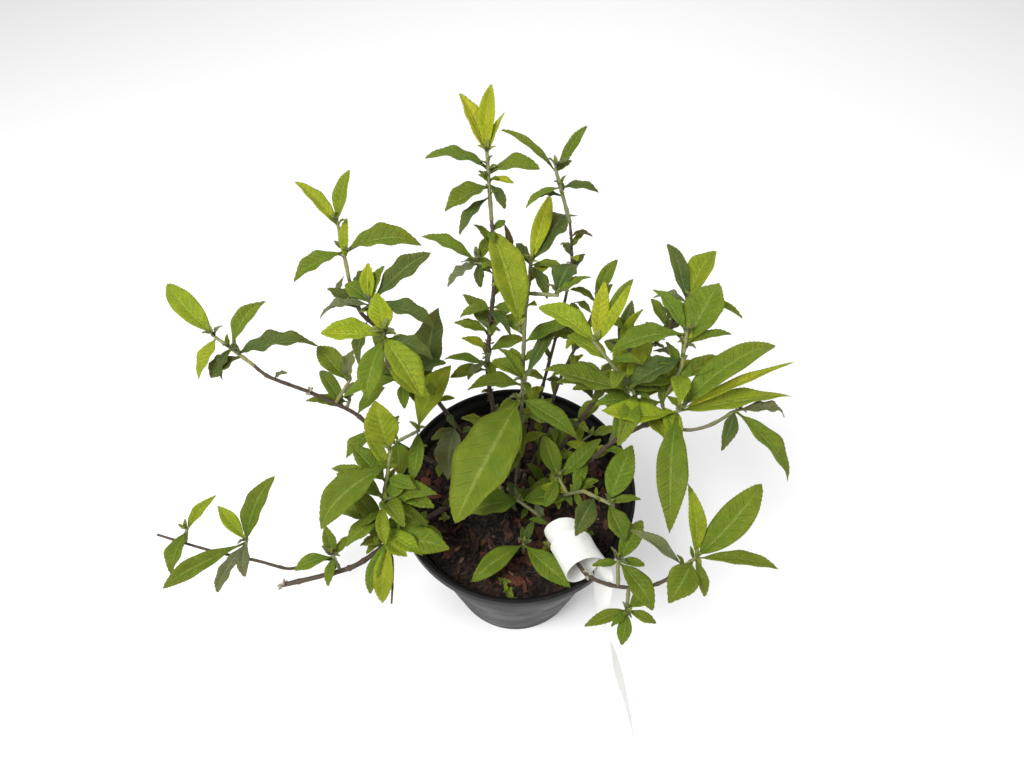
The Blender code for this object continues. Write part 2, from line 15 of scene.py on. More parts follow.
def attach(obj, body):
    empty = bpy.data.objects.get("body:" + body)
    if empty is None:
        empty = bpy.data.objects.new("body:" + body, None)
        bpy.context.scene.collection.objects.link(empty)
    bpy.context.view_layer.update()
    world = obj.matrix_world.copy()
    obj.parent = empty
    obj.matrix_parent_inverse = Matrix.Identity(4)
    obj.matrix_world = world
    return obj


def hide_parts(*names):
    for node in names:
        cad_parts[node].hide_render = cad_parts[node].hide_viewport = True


MM = 0.001
GAP = 0.0003                 # air between pieces that touch, as in the part

# Pot
RIM_RADIUS = 0.085
POT_HEIGHT = 0.158
BASE_RADIUS = 0.0555
WALL = 0.0016
LIP_WIDTH = 0.0030
LIP_HEIGHT = 0.0090
FLOOR = 0.0024
PAD_RADIUS = 0.0250
FOOT_INNER = 0.0500
FOOT_RAISE = 0.0030
DRAIN_HOLES = 8
DRAIN_RADIUS = 0.0050
DRAIN_CIRCLE = 0.0380

# Potting soil
SOIL_TOP = 0.1400
SOIL_BUMP = 0.0022
SOCKET_DEPTH = 0.0150

# Leaves
STALK = 0.07                 # the stalk's share of the length
STALK_WIDTH = 0.10           # half width of the stalk, as a share of the blade's
LEAF_THICK = 0.00034
HALF_CELLS = 4               # cells from the midrib to the margin
VEIN_PAIRS = 10
VEIN_SLANT = 0.9             # how far a side vein runs forward for each unit outward
TOOTH_TIP = 0.00032          # how far the teeth stand out of the plain margin
TOOTH_FOOT = 0.00014         # and the gaps between them
SHOOT_RADIUS = 0.0011
AXIS_RADIUS = 0.0013         # the young green axis that a shoot's leaves grow from
AXIS_SUNK = 0.0012           # how deep the axis starts in its stem
AXIS_BEYOND = 0.0025         # and how far it passes its leaf node
TWO_PI = 2 * math.pi

# look of a leaf: colour, arch, fold, ruffle, and how much its tip curls
LOOKS = {
    "gold": ((0.335, 0.385, 0.014), 0.05, 0.55, 0.12, 0.10),
    "fresh": ((0.235, 0.305, 0.011), 0.08, 0.45, 0.13, -0.20),
    "green": ((0.112, 0.180, 0.010), 0.09, 0.36, 0.14, -0.45),
    "dark": ((0.052, 0.094, 0.022), 0.10, 0.40, 0.24, -0.60),
    "grey": ((0.130, 0.155, 0.085), 0.12, 0.55, 0.34, -0.75),
    "bud": ((0.290, 0.320, 0.080), 0.15, 0.60, 0.05, 0.10),
    "dead": ((0.045, 0.030, 0.022), 0.20, 0.90, 0.30, -0.60),
}
BARK = (0.050, 0.031, 0.019)
BARK_GREY = (0.150, 0.115, 0.080)
GREEN_STEM = (0.270, 0.285, 0.105)
FELT = (0.400, 0.400, 0.290)
BARK_SWELL = 1.1             # a stem's bark is thicker than its CAD solid by this factor
GREEN_TIP_SWELL = 1.4        # and so is the tip of a green stem
POT_BLACK = (0.035, 0.036, 0.038)
PEAT_BROWN = (0.045, 0.027, 0.018)
CRUMB_BROWN = (0.026, 0.016, 0.011)
PALE_GRAIN = (0.20, 0.17, 0.13)
ROOT_BROWN = (0.060, 0.038, 0.026)
ROOT_PALE = (0.270, 0.215, 0.160)
LABEL_WHITE = (0.83, 0.83, 0.80)

# How many loose things lie or stand in the pot, and seed capsules on the tall stem
CHIPS = 380
CRUMBS = 1500
ROOTS = 130
CROWN_STUBS = 15
CROWN_FIBRES = 170
CAPSULES = 90
CROWN_X = 0.004              # middle of the crown
CROWN_Y = 0.008

# Stems. "foot" is where one leaves the crown, or the stem that it grows from; "route" follows.
STEMS = {
    "left_high": dict(foot=(-12, 12), radius=(1.9, 1.1), bark="brown", route=[
        (-32, 22, 170), (-52, 34, 208), (-64, 38, 228), (-86, 46, 272), (-94, 47, 286),
        (-101, 63, 298)]),
    "left_far": dict(foot=(-15, 2), radius=(1.7, 1.0), bark="brown", route=[
        (-55, 6, 176), (-90, 12, 203), (-107, 20, 218), (-133, 24, 236), (-154, 25, 250),
        (-163, 29, 257)]),
    "left_low": dict(foot=(-9, -6), radius=(1.9, 1.5), bark="brown", route=[
        (-38, -11, 153), (-72, -38, 166), (-97, -61, 170), (-113, -68, 168), (-150, -74, 160)]),
    "left_trailing": dict(foot="left_low", radius=(1.2, 0.8), bark="brown", route=[
        (-118, -62, 172), (-128, -62, 171), (-145, -66, 167), (-167, -60, 164), (-203, -51, 160),
        (-246, -37, 154)]),
    "left_side": dict(foot="left_low", radius=(1.2, 0.9), bark="green", route=[
        (-84, -50, 176), (-84, -52, 190), (-82, -40, 210), (-78, -32, 226)]),
    "left_twig": dict(foot="left_low", radius=(0.8, 0.6), bark="brown", route=[
        (-80, -60, 171), (-78, -75, 171), (-78, -88, 166)]),
    "left_inner": dict(foot="left_high", radius=(1.2, 0.9), bark="green", route=[
        (-70, 30, 235), (-76, 18, 268), (-71, 5, 308)]),
    "tall": dict(foot=(-4, 20), radius=(1.9, 1.0), bark="brown", route=[
        (-12, 30, 180), (-19, 43, 225), (-17, 58, 262), (-14, 66, 290), (-14, 74, 314),
        (-15, 82, 327)]),
    "centre": dict(foot=(0, 8), radius=(1.4, 0.9), bark="green", route=[
        (3, 20, 200), (4, 34, 245), (5, 48, 282), (8, 67, 298)]),
    "back": dict(foot=(4, 26), radius=(1.4, 0.8), bark="brown", route=[
        (14, 40, 190), (20, 51, 218), (28, 62, 262), (33, 72, 300), (31, 83, 324)]),
    "back_right": dict(foot=(12, 14), radius=(1.4, 0.8), bark="brown", route=[
        (23, 38, 194), (33, 46, 236), (42, 49, 264), (47, 51, 283)]),
    "right": dict(foot=(16, 2), radius=(1.9, 1.2), bark="brown", route=[
        (30, 0, 165), (45, -3, 190), (62, -3, 220), (78, -7, 246), (89, -11, 262)]),
    "right_high": dict(foot=(17, 10), radius=(1.7, 0.9), bark="brown", route=[
        (36, 24, 180), (53, 34, 212), (67, 42, 231), (79, 43, 250), (90, 46, 263), (101, 50, 285)]),
    "right_inner": dict(foot="right", radius=(1.0, 0.8), bark="green", route=[
        (72, 0, 256), (66, 1, 270), (46, 8, 296)]),
    "right_up": dict(foot="right", radius=(1.0, 0.8), bark="green", route=[
        (85, -2, 262), (90, 3, 274), (93, 7, 283)]),
    "right_tip": dict(foot="right", radius=(1.0, 0.8), bark="green", route=[
        (88, -15, 255), (100, -18, 256), (113, -15, 258), (123, -10, 261)]),
    "front_right": dict(foot=(6, -8), radius=(1.5, 1.0), bark="brown", route=[
        (13, -20, 156), (22, -38, 170), (34, -61, 180), (43, -77, 185), (58, -85, 189),
        (74, -88, 195), (84, -88, 205), (90, -86, 214)]),
    "pot_right": dict(foot=(14, -6), radius=(1.3, 0.9), bark="green", route=[
        (32, -20, 180), (42, -31, 206)]),
}

# Shoots. Each is a green growing tip on a stem, with its leaves around one node.
# A leaf is (heading, rise, length, width, look). Heading 0 is to the right and 90 to the back,
# and rise is how far its tip stands above level, both in degrees. A sixth number is how far
# below the node the leaf starts, and a seventh replaces the usual arch of its midrib.
SHOOTS = {
    "left_high_tip": dict(stem="left_high", node=(-108, 90, 318), leaves=[
        (140, 25, 38, 9, "gold", 3), (75, 35, 33, 9, "fresh"), (10, 3, 47, 16, "green", 18),
        (215, -5, 34, 12, "green", 18), (85, 40, 25, 6, "gold", 23)]),
    "left_far_tip": dict(stem="left_far", node=(-187, 43, 268), leaves=[
        (136, 15, 51, 14, "fresh"), (255, -20, 28, 10, "gold", 1), (55, 30, 36, 11, "green", 13),
        (9, 5, 49, 15, "dark", 17), (210, -15, 23, 12, "dark", 20), (258, -20, 20, 7, "dark", 12)]),
    "left_far_side": dict(stem="left_far", node=(-111, 27, 221), leaves=[
        (183, 8, 28, 8, "green"), (80, 30, 14, 6, "grey")]),
    "left_high_side": dict(stem="left_high", node=(-85, 41, 298), leaves=[
        (40, 20, 47, 13, "dark"), (347, -10, 40, 12, "dark"), (144, 20, 20, 12, "green"),
        (92, 45, 24, 8, "gold"), (193, 0, 30, 7, "grey"), (65, 40, 24, 6, "green")]),
    "left_inner_tip": dict(stem="left_inner", node=(-70, 2, 316), leaves=[
        (182, 5, 32, 13, "gold", 1), (304, -15, 40, 15, "fresh", 2), (100, 50, 22, 12, "gold"),
        (350, -20, 28, 9, "dark", 5), (256, -20, 34, 13, "green", 4)]),
    "left_far_upper": dict(stem="left_far", node=(-109, 32, 236), leaves=[
        (135, 25, 32, 14, "green"), (80, 30, 22, 9, "grey")]),
    "left_high_lower": dict(stem="left_high", node=(-61, 33, 230), leaves=[
        (80, 30, 55, 20, "dark"), (330, 0, 14, 5, "grey")]),
    "left_side_tip": dict(stem="left_side", node=(-75, -24, 240), leaves=[
        (110, 50, 33, 19, "fresh"), (222, -10, 53, 20, "green", 8), (128, 35, 28, 7, "fresh", 12)]),
    "left_side_middle": dict(stem="left_side", node=(-80, -42, 215), leaves=[
        (155, 15, 34, 11, "green"), (5, 10, 32, 13, "green"), (35, 30, 22, 10, "green"),
        (337, -20, 31, 6, "green")]),
    "left_side_lower": dict(stem="left_side", node=(-79, -55, 190), leaves=[
        (246, -30, 37, 8, "green"), (262, -35, 41, 12, "fresh"), (60, 40, 20, 9, "green"),
        (195, 0, 19, 8, "green"), (350, 0, 38, 16, "green")]),
    "tall_tip": dict(stem="tall", node=(-17, 101, 356), leaves=[
        (120, 35, 38, 10, "gold"), (85, 42, 39, 9, "gold"), (190, 20, 36, 12, "green", 6),
        (212, -10, 30, 14, "green", 16), (230, -20, 29, 7, "dark", 22), (350, 15, 30, 12, "green", 9),
        (55, 45, 25, 4, "gold"), (335, 5, 16, 5, "gold", 12), (310, -30, 17, 6, "dark", 15)]),
    "back_tip": dict(stem="back", node=(22, 93, 351), leaves=[
        (149, 25, 39, 5, "green"), (50, 36, 31, 6, "green"), (40, 15, 12, 5, "green"),
        (357, 0, 22, 6, "dark", 9), (217, -5, 25, 6, "green", 9), (182, -3, 18, 6, "dark", 14)]),
    "centre_tip": dict(stem="centre", node=(8, 70, 302), leaves=[
        (72, 30, 46, 10, "gold"), (50, 18, 48, 20, "dark"), (115, 10, 20, 6, "dark"),
        (351, 0, 21, 6, "green"), (299, -20, 23, 7, "dark")]),
    "tall_upper": dict(stem="tall", node=(-23, 73, 301), leaves=[
        (157, 15, 39, 10, "green"), (57, 30, 21, 7, "green"), (213, -15, 24, 7, "grey"),
        (275, -25, 15, 6, "dark")]),
    "centre_upper": dict(stem="centre", node=(2, 30, 290), leaves=[
        (110, 35, 59, 20, "fresh")]),
    "tall_middle": dict(stem="tall", node=(-17, 54, 260), leaves=[
        (129, 25, 31, 12, "green"), (167, 10, 24, 8, "green"), (44, 20, 22, 8, "green")]),
    "tall_lower": dict(stem="tall", node=(-20, 45, 239), leaves=[
        (173, 5, 28, 8, "green"), (218, -10, 16, 5, "grey"), (340, 0, 15, 5, "green")]),
    "centre_middle": dict(stem="centre", node=(5, 24, 249), leaves=[
        (150, 14, 24, 9, "green"), (135, 28, 26, 8, "green"), (55, 30, 40, 8, "dark")]),
    "right_inner_tip": dict(stem="right_inner", node=(43, 9, 300), leaves=[
        (147, 15, 38, 13, "fresh"), (80, 35, 35, 9, "gold"), (50, 40, 37, 6, "gold"),
        (58, 25, 45, 7, "green")]),
    "right_inner_leaf": dict(stem="right_inner", node=(63, -3, 275), leaves=[
        (168, 10, 50, 19, "green", 0, -0.07)]),
    "centre_side": dict(stem="centre", node=(22, 45, 302), leaves=[
        (67, 9, 26, 15, "dark"), (25, 15, 24, 6, "green")]),
    "back_right_tip": dict(stem="back_right", node=(48, 53, 287), leaves=[
        (60, 35, 30, 8, "green"), (160, 25, 18, 5, "green")]),
    "right_high_tip": dict(stem="right_high", node=(102, 52, 289), leaves=[
        (105, 30, 39, 9, "dark"), (56, 25, 38, 15, "fresh"), (169, 5, 20, 7, "grey"),
        (341, 0, 34, 5, "green"), (216, -19, 16, 7, "dark")]),
    "right_up_tip": dict(stem="right_up", node=(94, 17, 299), leaves=[
        (57, 30, 43, 21, "green", 8), (204, -15, 38, 14, "dark", 14), (75, 45, 18, 5, "gold", 12),
        (11, 10, 27, 5, "green", 6), (192, -4, 44, 13, "green"), (125, 25, 32, 11, "green")]),
    "right_high_side": dict(stem="right_high", node=(63, 38, 262), leaves=[
        (71, 30, 33, 9, "dark"), (45, 45, 29, 6, "gold")]),
    "right_tip_main": dict(stem="right", node=(91, -12, 266), leaves=[
        (30, 20, 70, 15, "green"), (20, 10, 75, 6, "gold"), (9, 2, 69, 14, "fresh", 0, -0.02),
        (263, -20, 68, 17, "green"), (183, 8, 44, 14, "fresh", 0, -0.03)]),
    "right_tip_outer": dict(stem="right_tip", node=(126, -9, 262), leaves=[
        (5, -8, 34, 7, "grey"), (306, -15, 48, 14, "green"), (245, -15, 25, 8, "dark")]),
    "centre_great_leaf": dict(stem="centre", node=(2, 21, 233), leaves=[
        (242, -15, 88, 36, "green"), (325, -5, 45, 13, "green")]),
    "pot_right_side": dict(stem="pot_right", node=(28, -13, 190), leaves=[
        (40, 20, 39, 11, "green"), (242, -15, 21, 8, "green"), (110, 25, 30, 13, "green")]),
    "crown_middle": dict(stem="front_right", node=(2, -24, 178), leaves=[
        (193, 0, 34, 19, "green"), (1, 5, 30, 16, "green"), (121, 10, 16, 7, "dark")]),
    "crown_left": dict(stem="left_far", node=(-63, 2, 224), leaves=[
        (62, 25, 48, 17, "fresh"), (268, -12, 33, 10, "green"), (280, -5, 24, 15, "green", 34)]),
    "pot_right_tip": dict(stem="pot_right", node=(54, -46, 220), leaves=[
        (63, 25, 38, 16, "green"), (295, -19, 24, 13, "green"), (240, -10, 27, 13, "dark", 12),
        (5, 5, 20, 5, "green")]),
    "front_right_side": dict(stem="front_right", node=(60, -74, 199), leaves=[
        (55, 20, 29, 11, "green"), (190, 5, 16, 5, "green"), (353, 0, 16, 5, "green"),
        (305, -8, 33, 13, "green")]),
    "front_seedling": dict(stem=None, node=(5, -45, 156), leaves=[
        (217, 5, 43, 13, "green"), (316, 5, 42, 15, "green"), (98, 30, 12, 5, "dark"),
        (64, 30, 17, 5, "dark")]),
    "front_right_tip": dict(stem="front_right", node=(98, -83, 226), leaves=[
        (97, 40, 42, 9, "fresh"), (42, 25, 56, 17, "green"), (352, 5, 45, 8, "green"),
        (145, 15, 35, 7, "grey", 9), (235, -10, 27, 16, "green", 2), (285, -25, 21, 6, "green")]),
    "front_right_lower": dict(stem="front_right", node=(64, -99, 189), leaves=[
        (200, 0, 27, 7, "green"), (225, 10, 15, 4, "green"), (335, 0, 18, 6, "green"),
        (258, -20, 20, 8, "green"), (35, 0, 20, 10, "green")]),
    "left_trailing_side": dict(stem="left_trailing", node=(-178, -48, 167), leaves=[
        (67, 30, 46, 14, "green"), (135, 25, 31, 9, "fresh"), (212, 0, 56, 12, "green"),
        (239, -20, 36, 8, "grey"), (270, -20, 22, 8, "grey")]),
    "left_trailing_tip": dict(stem="left_trailing", node=(-222, -38, 163), leaves=[
        (47, 25, 30, 8, "fresh"), (261, -12, 30, 12, "green")]),
    "left_low_side": dict(stem="left_low", node=(-116, -62, 177), leaves=[
        (111, 30, 20, 8, "green"), (52, 14, 17, 6, "green"), (199, 0, 25, 9, "green"),
        (263, -15, 18, 6, "green")]),
}

# Label: a blank plastic strip that coils round the front stem, with its tail hanging outside
LABEL_WIDTH = 0.024
COIL_CENTRE = (0.0365, -0.060, 0.181)
COIL_AXIS = (0.34, -0.88, 0.34)
COIL_RADII = (0.0110, 0.0136)        # inside turn and outside turn
COIL_SHIFT = (-0.011, 0.010)         # the coil also walks forward along its axis
COIL_ANGLES = (562, 18)              # from the inner end round to where the tail leaves
# The tail: where its middle line runs, and which way its width points there
TAIL = [((54, -68, 180), (0.34, -0.88, 0.34)), ((54, -75, 174), (0.33, -0.80, 0.50)),
        ((53, -85, 168), (0.30, -0.62, 0.72)), ((52, -95, 163), (0.15, -0.55, 0.83)),
        ((57, -106, 151), (-0.05, -0.55, 0.83)), ((63, -116, 134), (-0.30, -0.62, 0.72)),
        ((70, -127, 112), (-0.25, -0.65, 0.72)), ((77, -142, 86), (-0.20, -0.66, 0.72)),
        ((84, -161, 56), (-0.14, -0.67, 0.72))]
TAIL_END_WIDTH = 0.010
LABEL_THIN = 0.00045         # the real strip is thinner than its CAD solid

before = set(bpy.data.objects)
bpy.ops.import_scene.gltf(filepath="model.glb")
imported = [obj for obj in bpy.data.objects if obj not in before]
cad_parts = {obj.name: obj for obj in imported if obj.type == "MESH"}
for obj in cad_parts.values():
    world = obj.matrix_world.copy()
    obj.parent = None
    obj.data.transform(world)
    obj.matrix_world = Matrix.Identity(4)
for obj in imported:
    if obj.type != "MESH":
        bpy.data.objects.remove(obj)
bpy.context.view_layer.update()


class Shape:
    """Vertices and faces with the two surface values that the materials read.

    tone is a vertex's own colour, with 1 in its fourth number on the felted side of a leaf.
    place is where the vertex lies on its leaf, stem or chip.
    """

    def __init__(self):
        self.vertices = []
        self.faces = []
        self.tones = []
        self.places = []

    def add(self, vertices, faces, tone, places=None, under=None):
        first = len(self.vertices)
        self.vertices += [tuple(vertex) for vertex in vertices]
        self.faces += [tuple(first + corner for corner in face) for face in faces]
        for index in range(len(vertices)):
            colour = tone(index) if callable(tone) else tone
            self.tones.append((*colour, under[index] if under else 0.0))
            self.places.append(tuple(places[index]) if places else (0.0, 0.0, 0.0))

    def make(self, name, surface, smooth=True):
        mesh = bpy.data.meshes.new(name)
        mesh.from_pydata(self.vertices, [], self.faces)
        tone = mesh.attributes.new("tone", "FLOAT_COLOR", "POINT")
        tone.data.foreach_set("color", [value for row in self.tones for value in row])
        place = mesh.attributes.new("place", "FLOAT_VECTOR", "POINT")
        place.data.foreach_set("vector", [value for row in self.places for value in row])
        mesh.materials.append(surface)
        if smooth:
            mesh.shade_smooth()
        made = bpy.data.objects.new(name, mesh)
        bpy.context.scene.collection.objects.link(made)
        return made


def settle(piece, slot, *nodes):
    """Ride the piece on the only body and hide the CAD nodes it stands for. The slot argument is not used.
    """
    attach(piece, "root")
    if nodes:
        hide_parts(*nodes)


def vary(colour, rng, spread=0.12):
    """The same colour, a little lighter or darker and a little warmer or cooler."""
    light = 1 + rng.uniform(-spread, spread)
    warm = 1 + rng.uniform(-spread, spread) * 0.7
    return colour[0] * light * warm, colour[1] * light, colour[2] * light / warm


def blend(first, second, share):
    return tuple(a + (b - a) * share for a, b in zip(first, second))


def lathe(profile, steps):
    """Turn a closed profile of (radius, height) corners; a corner at radius 0 is a single point."""
    vertices = []
    rings = []
    for radius, height in profile:
        if radius == 0:
            rings.append([len(vertices)] * steps)
            vertices.append((0, 0, height))
            continue
        rings.append(list(range(len(vertices), len(vertices) + steps)))
        for step in range(steps):
            angle = TWO_PI * step / steps
            vertices.append((radius * math.cos(angle), radius * math.sin(angle), height))
    faces = []
    for lower, upper in zip(rings, rings[1:]):
        for step in range(steps):
            after = (step + 1) % steps
            corners = [lower[step], lower[after], upper[after], upper[step]]
            faces.append(tuple(dict.fromkeys(corners)))
    return vertices, [face for face in faces if len(face) > 2]


def ring_faces(rings, around):
    """Faces between rings of corners that follow each other."""
    faces = []
    for low in range(0, (rings - 1) * around, around):
        for corner in range(around):
            after = (corner + 1) % around
            faces.append((low + corner, low + after, low + around + after, low + around + corner))
    return faces


def spot_at(route, share):
    return route[round(share * (len(route) - 1))]


def any_way(rng, lowest, highest):
    """A random direction; its upward part is drawn between two values."""
    return Vector((rng.uniform(-1, 1), rng.uniform(-1, 1), rng.uniform(lowest, highest))).normalized()


def smooth_route(points, per_span=2):
    """Points on a Catmull-Rom curve through the given ones."""
    ends = [points[0] * 2 - points[1]] + points + [points[-1] * 2 - points[-2]]
    curve = []
    for before, start, stop, after in zip(ends, ends[1:], ends[2:], ends[3:]):
        for step in range(per_span):
            t = step / per_span
            curve.append(0.5 * (2 * start + (stop - before) * t
                                + (2 * before - 5 * start + 4 * stop - after) * t ** 2
                                + (3 * start - 3 * stop + after - before) * t ** 3))
    return curve + [points[-1]]


def tube(route, radius_at, sides=10):
    """A round stem along a route: vertices, faces and (share along, share round, 0) places."""
    vertices = []
    places = []
    side_way = None
    last = len(route) - 1
    for index, point in enumerate(route):
        ahead = (route[min(index + 1, last)] - route[max(index - 1, 0)]).normalized()
        if side_way is None:
            side_way = ahead.orthogonal()
        side_way = (side_way - ahead * side_way.dot(ahead)).normalized()
        other_way = ahead.cross(side_way)
        for side in range(sides):
            angle = TWO_PI * side / sides
            outward = side_way * math.cos(angle) + other_way * math.sin(angle)
            vertices.append(point + outward * radius_at(index / last, angle))
            places.append((index / last, side / sides, 0.0))
    faces = ring_faces(len(route), sides)
    for ring, tip, flip in ((0, route[0] * 2 - route[1], True), (last, route[-1] * 2 - route[-2], False)):
        end = route[0] if flip else route[-1]
        reach = radius_at(0 if flip else 1, 0) * 0.6
        vertices.append(end + (tip - end).normalized() * reach)
        places.append((0.0 if flip else 1.0, 0.0, 0.0))
        for side in range(sides):
            corners = (ring * sides + side, ring * sides + (side + 1) % sides, len(vertices) - 1)
            faces.append(corners[::-1] if flip else corners)
    return vertices, faces, places


def lump(centre, size, turn, rng, rough=0.25):
    """A small uneven pebble shape: eighteen corners, squashed to size and turned."""
    vertices = [centre + turn @ Vector((0, 0, -size.z))]
    for height, reach in ((-0.55, 0.8), (0.1, 1.0), (0.65, 0.7)):
        for step in range(6):
            angle = TWO_PI * step / 6
            out = reach * (1 + rng.uniform(-rough, rough))
            spot = Vector((math.cos(angle) * size.x * out, math.sin(angle) * size.y * out, size.z * height))
            vertices.append(centre + turn @ spot)
    vertices.append(centre + turn @ Vector((0, 0, size.z)))
    faces = []
    for step in range(6):
        after = (step + 1) % 6
        faces.append((0, 1 + after, 1 + step))
        for ring in (1, 7):
            faces.append((ring + step, ring + after, ring + 6 + after, ring + 6 + step))
        faces.append((13 + step, 13 + after, 19))
    return vertices, faces


def any_turn(rng):
    return Matrix.Rotation(rng.uniform(0, TWO_PI), 3, "Z") @ Matrix.Rotation(rng.uniform(0, TWO_PI), 3, "X")


# Materials. The leaf, stem and chip ones read "tone" and "place" from their mesh, and the peat one reads
# "tone" only.

def new_material(name, roughness, **shader_values):
    made = bpy.data.materials.new(name)
    made.use_nodes = True
    shader = made.node_tree.nodes["Principled BSDF"]
    shader.inputs["Roughness"].default_value = roughness
    for socket, value in shader_values.items():
        shader.inputs[socket.replace("_", " ")].default_value = value
    return made, made.node_tree, shader


def feed(tree, socket, value):
    if isinstance(value, bpy.types.NodeSocket):
        tree.links.new(value, socket)
    else:
        socket.default_value = value


def calc(tree, operation, *values):
    made = tree.nodes.new("ShaderNodeMath")
    made.operation = operation
    for socket, value in zip(made.inputs, values):
        feed(tree, socket, value)
    return made.outputs[0]


def times(tree, first, second):
    return calc(tree, "MULTIPLY", first, second)


def fade(tree, value, low, high, start=0.0, end=1.0):
    """start below low, end above high, and a smooth step between them."""
    made = tree.nodes.new("ShaderNodeMapRange")
    made.interpolation_type = "SMOOTHSTEP"
    for index, entry in enumerate((value, low, high, start, end)):
        feed(tree, made.inputs[index], entry)
    return made.outputs[0]


def mix(tree, share, first, second, blend_type="MIX"):
    made = tree.nodes.new("ShaderNodeMix")
    made.data_type = "RGBA"
    made.blend_type = blend_type
    feed(tree, made.inputs[0], share)
    feed(tree, made.inputs[6], first)
    feed(tree, made.inputs[7], second)
    return made.outputs[2]


def noise_at(tree, scale, detail=3.0, vector=None, kind="ShaderNodeTexNoise"):
    made = tree.nodes.new(kind)
    made.inputs["Scale"].default_value = scale
    if kind == "ShaderNodeTexNoise":
        made.inputs["Detail"].default_value = detail
    tree.links.new(vector or object_place(tree), made.inputs["Vector"])
    return made


def object_place(tree):
    found = tree.nodes.get("Where") or tree.nodes.new("ShaderNodeTexCoord")
    found.name = "Where"
    return found.outputs["Object"]


def attribute(tree, name):
    made = tree.nodes.new("ShaderNodeAttribute")
    made.attribute_name = name
    return made


def split(tree, vector):
    made = tree.nodes.new("ShaderNodeSeparateXYZ")
    tree.links.new(vector, made.inputs[0])
    return made.outputs


def stretched(tree, vector, scale):
    made = tree.nodes.new("ShaderNodeMapping")
    made.inputs["Scale"].default_value = scale
    tree.links.new(vector, made.inputs["Vector"])
    return made.outputs[0]


def bump(tree, shader, height, strength, distance):
    made = tree.nodes.new("ShaderNodeBump")
    made.inputs["Strength"].default_value = strength
    made.inputs["Distance"].default_value = distance
    tree.links.new(height, made.inputs["Height"])
    tree.links.new(made.outputs[0], shader.inputs["Normal"])


def leaf_material():
    """Soft green blade: pale midrib and side veins, a fine net between them, felt below."""
    made, tree, shader = new_material("leaf", 0.5, Specular_IOR_Level=0.2, Subsurface_Weight=0.1,
                                      Subsurface_Scale=0.002)
    tone = attribute(tree, "tone")
    along, across, vein = split(tree, attribute(tree, "place").outputs["Vector"])
    outward = calc(tree, "ABSOLUTE", across)
    wander = times(tree, noise_at(tree, 160, 2).outputs[0], 0.35)
    vein_gap = calc(tree, "PINGPONG", calc(tree, "ADD", vein, wander), 0.5)
    side_vein = fade(tree, vein_gap, 0.02, 0.13, 1.0, 0.0)
    side_vein = times(tree, side_vein, fade(tree, outward, 0.75, 1.0, 1.0, 0.2))
    midrib = fade(tree, outward, 0.03, 0.12, 1.0, 0.0)
    net = noise_at(tree, 750, kind="ShaderNodeTexVoronoi")
    net.feature = "DISTANCE_TO_EDGE"
    net_line = fade(tree, net.outputs["Distance"], 0.02, 0.16, 1.0, 0.0)
    mottle = fade(tree, noise_at(tree, 90, 4).outputs[0], 0.3, 0.7)
    colour = mix(tree, times(tree, mottle, 0.6), tone.outputs["Color"],
                 (0.62, 0.76, 0.55, 1), "MULTIPLY")
    young = mix(tree, 1.0, colour, (1.35, 1.22, 0.95, 1), "MULTIPLY")
    colour = mix(tree, times(tree, fade(tree, outward, 0.35, 0.0), 0.45), colour, young)
    pale = mix(tree, 0.35, young, (0.36, 0.42, 0.14, 1))
    veins = calc(tree, "MAXIMUM", midrib, times(tree, side_vein, 0.38))
    veins = calc(tree, "MAXIMUM", veins, times(tree, net_line, 0.16))
    colour = mix(tree, times(tree, veins, 0.75), colour, pale)
    spots = fade(tree, noise_at(tree, 330, 2).outputs[0], 0.70, 0.78)
    edge_wear = times(tree, spots, fade(tree, outward, 0.55, 1.0, 0.15, 0.7))
    colour = mix(tree, edge_wear, colour, (0.15, 0.12, 0.045, 1))
    felt = mix(tree, 0.45, tone.outputs["Color"], (0.33, 0.38, 0.20, 1))
    felt = mix(tree, times(tree, veins, 0.5), felt, (0.46, 0.50, 0.30, 1))
    colour = mix(tree, tone.outputs["Alpha"], colour, felt)
    tree.links.new(colour, shader.inputs["Base Color"])
    rough = fade(tree, noise_at(tree, 500, 2).outputs[0], 0.2, 0.8, 0.42, 0.6)
    rough = calc(tree, "ADD", rough, times(tree, tone.outputs["Alpha"], 0.3))
    tree.links.new(rough, shader.inputs["Roughness"])
    dents = calc(tree, "ADD", times(tree, midrib, 0.6), times(tree, side_vein, 0.5))
    dents = calc(tree, "ADD", dents, times(tree, net_line, 0.4))
    grain = times(tree, noise_at(tree, 1600, 2).outputs[0], 0.25)
    bump(tree, shader, calc(tree, "SUBTRACT", grain, dents), 0.9, 0.0010)
    return made


def stem_material():
    """Bark or green skin: the tone, streaked lengthwise, with pale flecks and cracks."""
    made, tree, shader = new_material("stem_skin", 0.75, Specular_IOR_Level=0.3)
    tone = attribute(tree, "tone").outputs["Color"]
    place = attribute(tree, "place").outputs["Vector"]
    streaks = noise_at(tree, 1.0, 3, stretched(tree, place, (60, 14, 1))).outputs[0]
    flecks = noise_at(tree, 900, 3).outputs[0]
    dark = mix(tree, 1.0, tone, (0.58, 0.55, 0.52, 1), "MULTIPLY")
    light = mix(tree, 0.08, tone, (0.45, 0.40, 0.30, 1))
    colour = mix(tree, fade(tree, streaks, 0.35, 0.65), dark, light)
    colour = mix(tree, times(tree, fade(tree, flecks, 0.55, 0.7), 0.5), colour, light)
    tree.links.new(colour, shader.inputs["Base Color"])
    height = calc(tree, "ADD", streaks, times(tree, flecks, 0.6))
    bump(tree, shader, height, 0.6, 0.0005)
    return made


